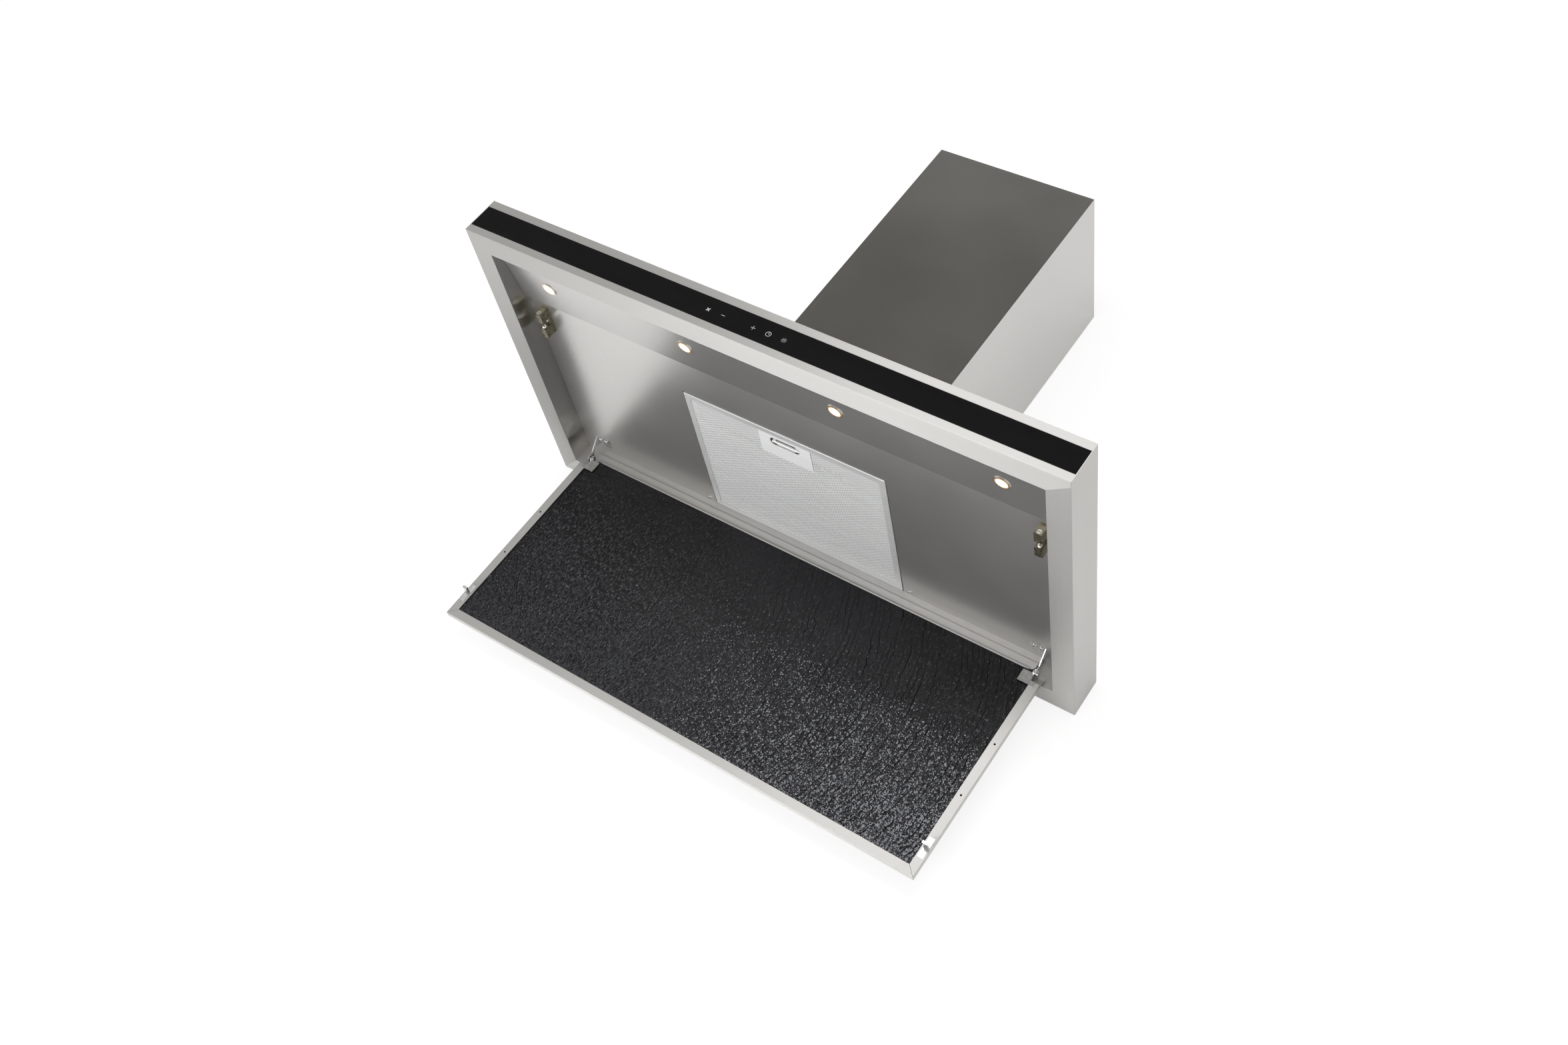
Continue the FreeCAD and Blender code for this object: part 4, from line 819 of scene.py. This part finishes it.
class HOOD_OT_marks(bpy.types.Operator):
    """Generic touch marks printed on the glass: fan, less, more, timer and light"""
    bl_idname = "hood.marks"
    bl_label = "Touch marks"

    def execute(self, context):
        glass = context.scene.hood_glass
        low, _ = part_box("control_glass")
        z = low.z + glass.height
        size, line = glass.mark_size, glass.mark_line
        places = [glass.middle + glass.mark_pitch * step for step in (-2, -1, 1, 2, 3)]
        fan, less, more, timer, light = places
        flat = [printed_blade(fan, z, size * 0.42, size * 0.22, QUARTER_TURN * (quarter + 0.5))
                for quarter in range(4)]
        flat += [printed_bar(less, z, size * 0.85, line, 0.0),
                 printed_bar(more, z, size * 0.95, line, 0.0),
                 printed_bar(more, z, size * 0.95, line, QUARTER_TURN),
                 printed_ring(timer, z, size * 0.55, line),
                 printed_bar(timer, z + size * 0.16, size * 0.42, line * 0.8, QUARTER_TURN),
                 printed_bar(timer + size * 0.13, z, size * 0.34, line * 0.8, 0.0),
                 printed_ring(light, z, size * 0.26, line * 0.7)]
        away = size * 0.46
        for ray in range(8):
            turn = QUARTER_TURN * ray / 2
            flat.append(printed_bar(light + away * math.cos(turn), z + away * math.sin(turn),
                                    size * 0.20, line * 0.7, -turn))
        deselect()
        for mark in flat:
            mark.select_set(True)
        context.view_layer.objects.active = flat[0]
        bpy.ops.object.join()
        marks = context.active_object
        marks.name = "touch_marks"
        marks.data.name = "touch_marks"
        edit_all(marks)
        bpy.ops.transform.translate(value=(0.0, low.y, 0.0))
        outwards = (0.0, -glass.mark_depth, 0.0)
        bpy.ops.mesh.extrude_region_move(TRANSFORM_OT_translate={"value": outwards})
        bpy.ops.mesh.select_all(action="SELECT")
        bpy.ops.mesh.normals_make_consistent(inside=False)
        bpy.ops.object.mode_set(mode="OBJECT")
        marks.data.materials.append(printed_mark(glass.mark_colour))
        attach(marks, "hood")
        return {"FINISHED"}


class HOOD_OT_foam(bpy.types.Operator):
    """Acoustic mat with a creased, pebbled skin, in the flap's tray"""
    bl_idname = "hood.foam"
    bl_label = "Foam mat"

    def execute(self, context):
        foam = context.scene.hood_foam
        low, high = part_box("foam_mat")
        corners = [vertex.co for vertex in NODES["foam_mat"].data.vertices]
        notch_x = max(point.x for point in corners if point.x < high.x - MILLIMETRE)
        notch_z = max(point.z for point in corners if point.z < high.z - MILLIMETRE)
        wide, tall = high.x - low.x, high.z - low.z
        deselect()
        place = ((low.x + high.x) / 2, low.y, (low.z + high.z) / 2)
        bpy.ops.mesh.primitive_grid_add(x_subdivisions=round(wide / foam.step),
                                        y_subdivisions=round(tall / foam.stride), size=1.0,
                                        location=place, rotation=(QUARTER_TURN, 0.0, 0.0))
        mat = context.active_object
        mat.scale = (wide, tall, 1.0)
        settle(mat, "foam_skin")
        edit_faces(mat, lambda points: max(p.z for p in points) > notch_z
                   and max(abs(p.x) for p in points) > notch_x)
        bpy.ops.mesh.delete(type="FACE")
        bpy.ops.mesh.select_mode(type="EDGE")
        bpy.ops.mesh.select_non_manifold(extend=False, use_wire=False, use_boundary=True,
                                         use_multi_face=False, use_non_contiguous=False,
                                         use_verts=False)
        inwards = (0.0, high.y - low.y, 0.0)
        bpy.ops.mesh.extrude_edges_move(TRANSFORM_OT_translate={"value": inwards})
        bpy.ops.mesh.edge_face_add()
        bpy.ops.mesh.select_all(action="SELECT")
        bpy.ops.mesh.normals_make_consistent(inside=False)
        bpy.ops.object.mode_set(mode="OBJECT")
        middle = (low.y + high.y) / 2
        runs, shares = [], []
        for vertex in mat.data.vertices:
            height, run, share = skin(vertex.co.x, vertex.co.z, foam, low)
            if vertex.co.y < middle:
                vertex.co.y -= height
            runs.append(run)
            shares.append(share)
        for name, values in (("crease_run", runs), ("crease_share", shares)):
            layer = mat.data.attributes.new(name, "FLOAT", "POINT")
            layer.data.foreach_set("value", values)
        only(mat)
        bpy.ops.object.shade_smooth_by_angle(angle=SMOOTH_ANGLE)
        mat.data.materials.append(foam_skin(foam))
        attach(mat, "flap")
        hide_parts("foam_mat")
        return {"FINISHED"}


def finger_pocket(sizes):
    """Shallow pan that closes the space over the latch behind the finger slot."""
    low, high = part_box("filter_handle_plate")
    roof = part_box("filter_core")[1].z - sizes.gauge
    deselect()
    bpy.ops.mesh.primitive_plane_add(size=1.0, rotation=(math.pi, 0.0, 0.0),
                                     location=((low.x + high.x) / 2, (low.y + high.y) / 2, roof))
    pocket = bpy.context.active_object
    pocket.scale = (high.x - low.x - 2 * sizes.pocket_margin, high.y - low.y - MILLIMETRE, 1.0)
    settle(pocket, "finger_pocket")
    edit_all(pocket)
    bpy.ops.mesh.inset(thickness=sizes.pocket_margin / 2)
    bpy.ops.transform.translate(value=(0.0, 0.0, -sizes.gauge))
    bpy.ops.object.mode_set(mode="OBJECT")
    wall = pocket.modifiers.new("gauge", "SOLIDIFY")
    wall.thickness = sizes.gauge
    bpy.ops.object.modifier_apply(modifier=wall.name)
    return pocket


def coil(sizes):
    """Compression spring along Y, from the latch to the handle plate's rear fold."""
    low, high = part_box("latch_spring")
    middle = (low + high) / 2
    wire = sizes.spring_wire / 2
    deselect()
    bpy.ops.mesh.primitive_circle_add(vertices=WIRE_SIDES, radius=wire,
                                      location=(middle.x, low.y + wire, middle.z))
    spring = bpy.context.active_object
    bpy.ops.object.mode_set(mode="EDIT")
    bpy.ops.transform.translate(value=((high.x - low.x) / 2 - wire, 0.0, 0.0))
    bpy.ops.object.mode_set(mode="OBJECT")
    turns = spring.modifiers.new("turns", "SCREW")
    turns.axis = "Y"
    turns.iterations = sizes.spring_turns
    turns.screw_offset = (high.y - low.y - 2 * wire) / sizes.spring_turns
    turns.steps = turns.render_steps = COIL_STEPS
    bpy.ops.object.modifier_apply(modifier=turns.name)
    settle(spring, "latch_coil")
    bpy.ops.object.mode_set(mode="EDIT")
    bpy.ops.mesh.select_all(action="SELECT")
    bpy.ops.mesh.fill_holes(sides=0)
    bpy.ops.mesh.select_all(action="SELECT")
    bpy.ops.mesh.normals_make_consistent(inside=False)
    bpy.ops.object.mode_set(mode="OBJECT")
    bpy.ops.object.shade_smooth_by_angle(angle=SMOOTH_ANGLE)
    spring.data.materials.append(bright_metal("spring_wire"))
    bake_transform(spring)
    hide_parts("latch_spring")


def expanded_mesh(sizes):
    """Front mesh: diamonds inside the rim, cut out round the handle plate, with twisted strands."""
    low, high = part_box("filter_mesh")
    corners = [vertex.co for vertex in NODES["filter_mesh"].data.vertices]
    cut_left = min(point.x for point in corners if point.x > low.x + MILLIMETRE)
    cut_right = max(point.x for point in corners if point.x < high.x - MILLIMETRE)
    cut_rear = max(point.y for point in corners if point.y < high.y - MILLIMETRE)
    deselect()
    bpy.ops.mesh.primitive_grid_add(x_subdivisions=sizes.cells, y_subdivisions=sizes.cells,
                                    size=sizes.cells / math.sqrt(2.0), location=(0.0, 0.0, 0.0),
                                    rotation=(math.pi, 0.0, math.pi / 4))
    mesh = bpy.context.active_object
    # The turn goes in first, so that the stretch runs along X and Y
    settle(mesh, "filter_mesh_strands")
    mesh.scale = (sizes.long_way, sizes.short_way, 1.0)
    mesh.location = ((low.x + high.x) / 2, (low.y + high.y) / 2, (low.z + high.z) / 2)
    settle(mesh, "filter_mesh_strands")

    def unwanted(points):
        outside = any(p.x < low.x or p.x > high.x or p.y < low.y or p.y > high.y for p in points)
        return outside or all(cut_left < p.x < cut_right and p.y < cut_rear for p in points)

    edit_faces(mesh, unwanted)
    bpy.ops.mesh.delete(type="FACE")
    bpy.ops.mesh.select_all(action="SELECT")
    bpy.ops.mesh.inset(thickness=sizes.strand / 2, use_individual=True)
    bpy.ops.object.mode_set(mode="OBJECT")
    half_twist = sizes.twist / 2
    for face in mesh.data.polygons:
        if face.select:
            for index in face.vertices:
                point = mesh.data.vertices[index].co
                rise = point.y - face.center.y
                if abs(rise) > sizes.strand / 8:
                    point.z += math.copysign(half_twist, rise)
    bpy.ops.object.mode_set(mode="EDIT")
    bpy.ops.mesh.delete(type="FACE")
    bpy.ops.object.mode_set(mode="OBJECT")
    wall = mesh.modifiers.new("gauge", "SOLIDIFY")
    wall.thickness = sizes.gauge
    wall.offset = 0.0
    only(mesh)
    bpy.ops.object.modifier_apply(modifier=wall.name)
    return mesh


class HOOD_OT_filter(bpy.types.Operator):
    """Grease filter: front mesh, inner layers, rim, handle plate, pocket, latch and spring"""
    bl_idname = "hood.filter"
    bl_label = "Grease filter"

    def execute(self, context):
        sizes = context.scene.hood_filter
        colour = sizes.colour
        mesh = expanded_mesh(sizes)
        mesh.data.materials.append(filter_metal("filter_strands", toned(colour, 1.08),
                                                roughness=0.36, scale=900.0, metal=0.2))
        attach(mesh, "hood")
        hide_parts("filter_mesh")
        dress(("filter_frame",), filter_metal("filter_rim", toned(colour, 0.96),
                                              roughness=0.34, scale=500.0, metal=0.45))
        dress(("filter_handle_plate",), filter_metal("handle_plate", colour,
                                                     roughness=0.45, scale=500.0, metal=0.1))
        dress(("filter_core",), filter_layers(sizes))
        dress(("filter_latch",), filter_metal("latch_bar", colour,
                                              roughness=0.3, scale=500.0, metal=0.3))
        pocket = finger_pocket(sizes)
        pocket.data.materials.append(filter_metal("finger_pocket", colour,
                                                  roughness=0.4, scale=500.0, metal=0.2))
        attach(pocket, "hood")
        coil(sizes)
        return {"FINISHED"}


class HOOD_OT_lamps(bpy.types.Operator):
    """Lit lenses and their flanges"""
    bl_idname = "hood.lamps"
    bl_label = "Lamps"

    def execute(self, context):
        middles = [sum(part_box(name), Vector()) / 2 for name in LAMP_BODIES]
        low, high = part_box("lamp_lenses")
        radius = (high.x - low.x) / 2 - middles[-1].x
        row = (middles[1].x - middles[0].x, (low + high) / 2, radius)
        dress(LAMP_BODIES, lamp_metal(*row))
        dress(("lamp_lenses",), lamp_glow(*row))
        return {"FINISHED"}


class HOOD_OT_fittings(bpy.types.Operator):
    """Hinges, catches, screws, blower, dampers, wall fixings and electrical parts"""
    bl_idname = "hood.fittings"
    bl_label = "Fittings"

    def execute(self, context):
        dress(PLATED, plated_steel())
        dress(BRIGHT, bright_metal("bright_nickel"))
        dress(BRONZE, dull_bronze())
        dark, pale = (0.030, 0.030, 0.032), (0.80, 0.80, 0.78)
        dress(DARK_MOULDED, moulded("dark_moulding", dark, roughness=0.42))
        dress(("led_driver",), moulded("pale_moulding", pale, roughness=0.45))
        dress(("motor",), motor_paint())
        return {"FINISHED"}


def floor_material(stage):
    """White to the eye, greyer in mirrors, a plain pale floor to the light, clear from behind."""
    material = bpy.data.materials.new("pale_floor")
    material.use_nodes = True
    tree = material.node_tree
    tree.nodes.clear()
    new, link = tree.nodes.new, tree.links.new
    pale = new("ShaderNodeBsdfDiffuse")
    pale.inputs["Color"].default_value = FLOOR_GREY
    white = new("ShaderNodeEmission")
    white.inputs["Strength"].default_value = stage.white
    seen = new("ShaderNodeMixShader")
    share = new("ShaderNodeMapRange")
    share.inputs["To Min"].default_value = stage.mirror_shadow
    share.inputs["To Max"].default_value = stage.shadow
    link(new("ShaderNodeLightPath").outputs["Is Camera Ray"], share.inputs["Value"])
    link(share.outputs["Result"], seen.inputs["Fac"])
    link(white.outputs["Emission"], seen.inputs[1])
    link(pale.outputs["BSDF"], seen.inputs[2])
    front = new("ShaderNodeMixShader")
    link(seen_directly(tree), front.inputs["Fac"])
    link(pale.outputs["BSDF"], front.inputs[1])
    link(seen.outputs["Shader"], front.inputs[2])
    both = new("ShaderNodeMixShader")
    link(new("ShaderNodeNewGeometry").outputs["Backfacing"], both.inputs["Fac"])
    link(front.outputs["Shader"], both.inputs[1])
    link(new("ShaderNodeBsdfTransparent").outputs["BSDF"], both.inputs[2])
    link(both.outputs["Shader"], new("ShaderNodeOutputMaterial").inputs["Surface"])
    return material


def seen_directly(tree):
    """1 for what the eye, a mirror or glass sees, 0 for the light that falls on things."""
    path = tree.nodes.new("ShaderNodeLightPath")
    most = path.outputs["Is Camera Ray"]
    for name in ("Is Glossy Ray", "Is Transmission Ray"):
        larger = tree.nodes.new("ShaderNodeMath")
        larger.operation = "MAXIMUM"
        tree.links.new(most, larger.inputs[0])
        tree.links.new(path.outputs[name], larger.inputs[1])
        most = larger.outputs["Value"]
    return most


def flag_material(name, pale_below, dark_above):
    """Cloth that the bright metal mirrors, with a painted falloff of light: pale below, graded
    upwards to dark.
    """
    finish = Finish(name)
    axes = finish.add("ShaderNodeSeparateXYZ")
    finish.join(finish.place(), axes.inputs["Vector"])
    # Painted light: the cloth's colour grades from pale to dark with height, standing in for a soft
    # box's falloff.
    level = finish.span(axes.outputs["Z"], 0.0, 1.0, pale_below, dark_above)
    weave = finish.sum(level, finish.cloud(finish.place(), 30.0), 0.04)
    pale, grey, dark = (0.9, 0.9, 0.9), (0.35, 0.345, 0.34), (0.145, 0.138, 0.124)
    cloth = finish.shades(weave, (0.0, pale), (0.45, grey), (0.95, dark))
    finish.drive("Base Color", cloth)
    finish.set(Roughness=0.9)
    return finish.material


def dark_flag(name, low, high, cloth):
    """Upright dark cloth in front of the hood, seen only in its gloss."""
    deselect()
    bpy.ops.mesh.primitive_plane_add(size=1.0, location=(Vector(low) + Vector(high)) / 2,
                                     rotation=(-QUARTER_TURN, 0.0, 0.0))
    flag = bpy.context.active_object
    flag.scale = (high[0] - low[0], high[2] - low[2], 1.0)
    settle(flag, name)
    flag.data.materials.append(cloth)
    flag.visible_camera = False
    flag.visible_diffuse = False
    flag.visible_shadow = False
    flag.visible_transmission = False
    return flag


def soft_box(name, place, power, stage):
    """Long lamp that faces the hood and stays out of the picture."""
    deselect()
    bpy.ops.object.light_add(type="AREA", location=place)
    lamp = bpy.context.active_object
    lamp.name = name
    lamp.data.shape = "RECTANGLE"
    lamp.data.size = stage.key_width
    lamp.data.size_y = stage.key_depth
    lamp.data.energy = power
    lamp.rotation_mode = "QUATERNION"
    lamp.rotation_quaternion = (-Vector(place)).to_track_quat("-Z", "Y")
    lamp.visible_camera = False
    return lamp


def spare(lamp, piece):
    """Keeps one piece out of a lamp's light."""
    spared = bpy.data.collections.new(f"{lamp.name}_spares")
    spared.objects.link(piece)
    lamp.light_linking.receiver_collection = spared
    spared.collection_objects[0].light_linking.link_state = "EXCLUDE"


def studio_world(scene, stage):
    """White to the eye and to mirrors, and a softer light from all sides on things."""
    world = bpy.data.worlds.new("studio")
    scene.world = world
    world.use_nodes = True
    tree = world.node_tree
    sky = tree.nodes["Background"]
    sky.inputs["Color"].default_value = (1.0, 1.0, 1.0, 1.0)
    level = tree.nodes.new("ShaderNodeMapRange")
    level.inputs["To Min"].default_value = stage.fill
    level.inputs["To Max"].default_value = 1.0
    tree.links.new(seen_directly(tree), level.inputs["Value"])
    tree.links.new(level.outputs["Result"], sky.inputs["Strength"])


def studio_camera(scene, stage):
    """Camera at its measured place, aim and roll."""
    deselect()
    bpy.ops.object.camera_add(location=stage.camera_place)
    camera = bpy.context.active_object
    camera.name = "camera"
    camera.data.sensor_fit = "HORIZONTAL"
    camera.data.sensor_width = SENSOR_WIDTH
    camera.data.lens = stage.camera_lens
    camera.rotation_mode = "QUATERNION"
    aim = Vector(stage.camera_aim).to_track_quat("-Z", "Y")
    roll = Matrix.Rotation(stage.camera_roll, 3, "Z").to_quaternion()
    camera.rotation_quaternion = aim @ roll
    scene.camera = camera


class HOOD_OT_stage(bpy.types.Operator):
    """Pale floor at the hood's back, soft studio light and the camera"""
    bl_idname = "hood.stage"
    bl_label = "Stage"

    def execute(self, context):
        scene, stage = context.scene, context.scene.hood_stage
        deselect()
        bpy.ops.mesh.primitive_plane_add(size=stage.floor_size,
                                         location=(0.0, stage.floor_gap, 0.0),
                                         rotation=(QUARTER_TURN, 0.0, 0.0))
        floor = context.active_object
        settle(floor, "floor")
        floor.data.materials.append(floor_material(stage))
        graded = flag_material("graded_cloth", stage.upper_flag_low[2], stage.dark_above)
        # The lower cloth's grading ends below it, so it is dark all over
        lowest = stage.lower_flag_low[2]
        dark = flag_material("dark_cloth", lowest - 2.0, lowest - 1.0)
        flags = [dark_flag("upper_flag", stage.upper_flag_low, stage.upper_flag_high, graded),
                 dark_flag("lower_flag", stage.lower_flag_low, stage.lower_flag_high, dark)]
        studio_world(scene, stage)
        key_lamp = soft_box("key_lamp", stage.key_place, stage.key_power, stage)
        spare(key_lamp, NODES["chimney_cover"])
        low_lamp = soft_box("low_lamp", stage.low_place, stage.low_power, stage)
        spare(low_lamp, bpy.data.objects["foam_skin"])
        studio_camera(scene, stage)
        scene.view_settings.view_transform = "Standard"
        return {"FINISHED"}


OPERATORS = (HOOD_OT_sheet, HOOD_OT_glass, HOOD_OT_marks, HOOD_OT_foam, HOOD_OT_filter,
             HOOD_OT_lamps, HOOD_OT_fittings, HOOD_OT_stage)
GROUPS = {"hood_steel": HoodSteel, "hood_glass": HoodGlass, "hood_foam": HoodFoam,
          "hood_filter": HoodFilter, "hood_stage": HoodStage}


class HOOD_PT_panel(bpy.types.Panel):
    """Sizes and colours of the hood, and a button for each group of pieces"""
    bl_idname = "HOOD_PT_panel"
    bl_label = "Range hood"
    bl_space_type = "VIEW_3D"
    bl_region_type = "UI"
    bl_category = "Hood"

    def draw(self, context):
        for name, group in GROUPS.items():
            box = self.layout.box()
            settings = getattr(context.scene, name)
            for key in group.__annotations__:
                box.prop(settings, key)
        for operator in OPERATORS:
            self.layout.operator(operator.bl_idname)


def register():
    """Adds the groups, operators and panel to Blender."""
    for group in GROUPS.values():
        bpy.utils.register_class(group)
    for operator in OPERATORS:
        bpy.utils.register_class(operator)
    bpy.utils.register_class(HOOD_PT_panel)
    for name, group in GROUPS.items():
        setattr(bpy.types.Scene, name, PointerProperty(type=group))


def unregister():
    """Takes them out again."""
    for name in GROUPS:
        delattr(bpy.types.Scene, name)
    bpy.utils.unregister_class(HOOD_PT_panel)
    for operator in reversed(OPERATORS):
        bpy.utils.unregister_class(operator)
    for group in GROUPS.values():
        bpy.utils.unregister_class(group)


def main():
    """Builds every piece and the stage."""
    register()
    bpy.ops.hood.sheet()
    bpy.ops.hood.glass()
    bpy.ops.hood.marks()
    bpy.ops.hood.foam()
    bpy.ops.hood.filter()
    bpy.ops.hood.lamps()
    bpy.ops.hood.fittings()
    bpy.ops.hood.stage()
    deselect()


if __name__ == "__main__":
    main()
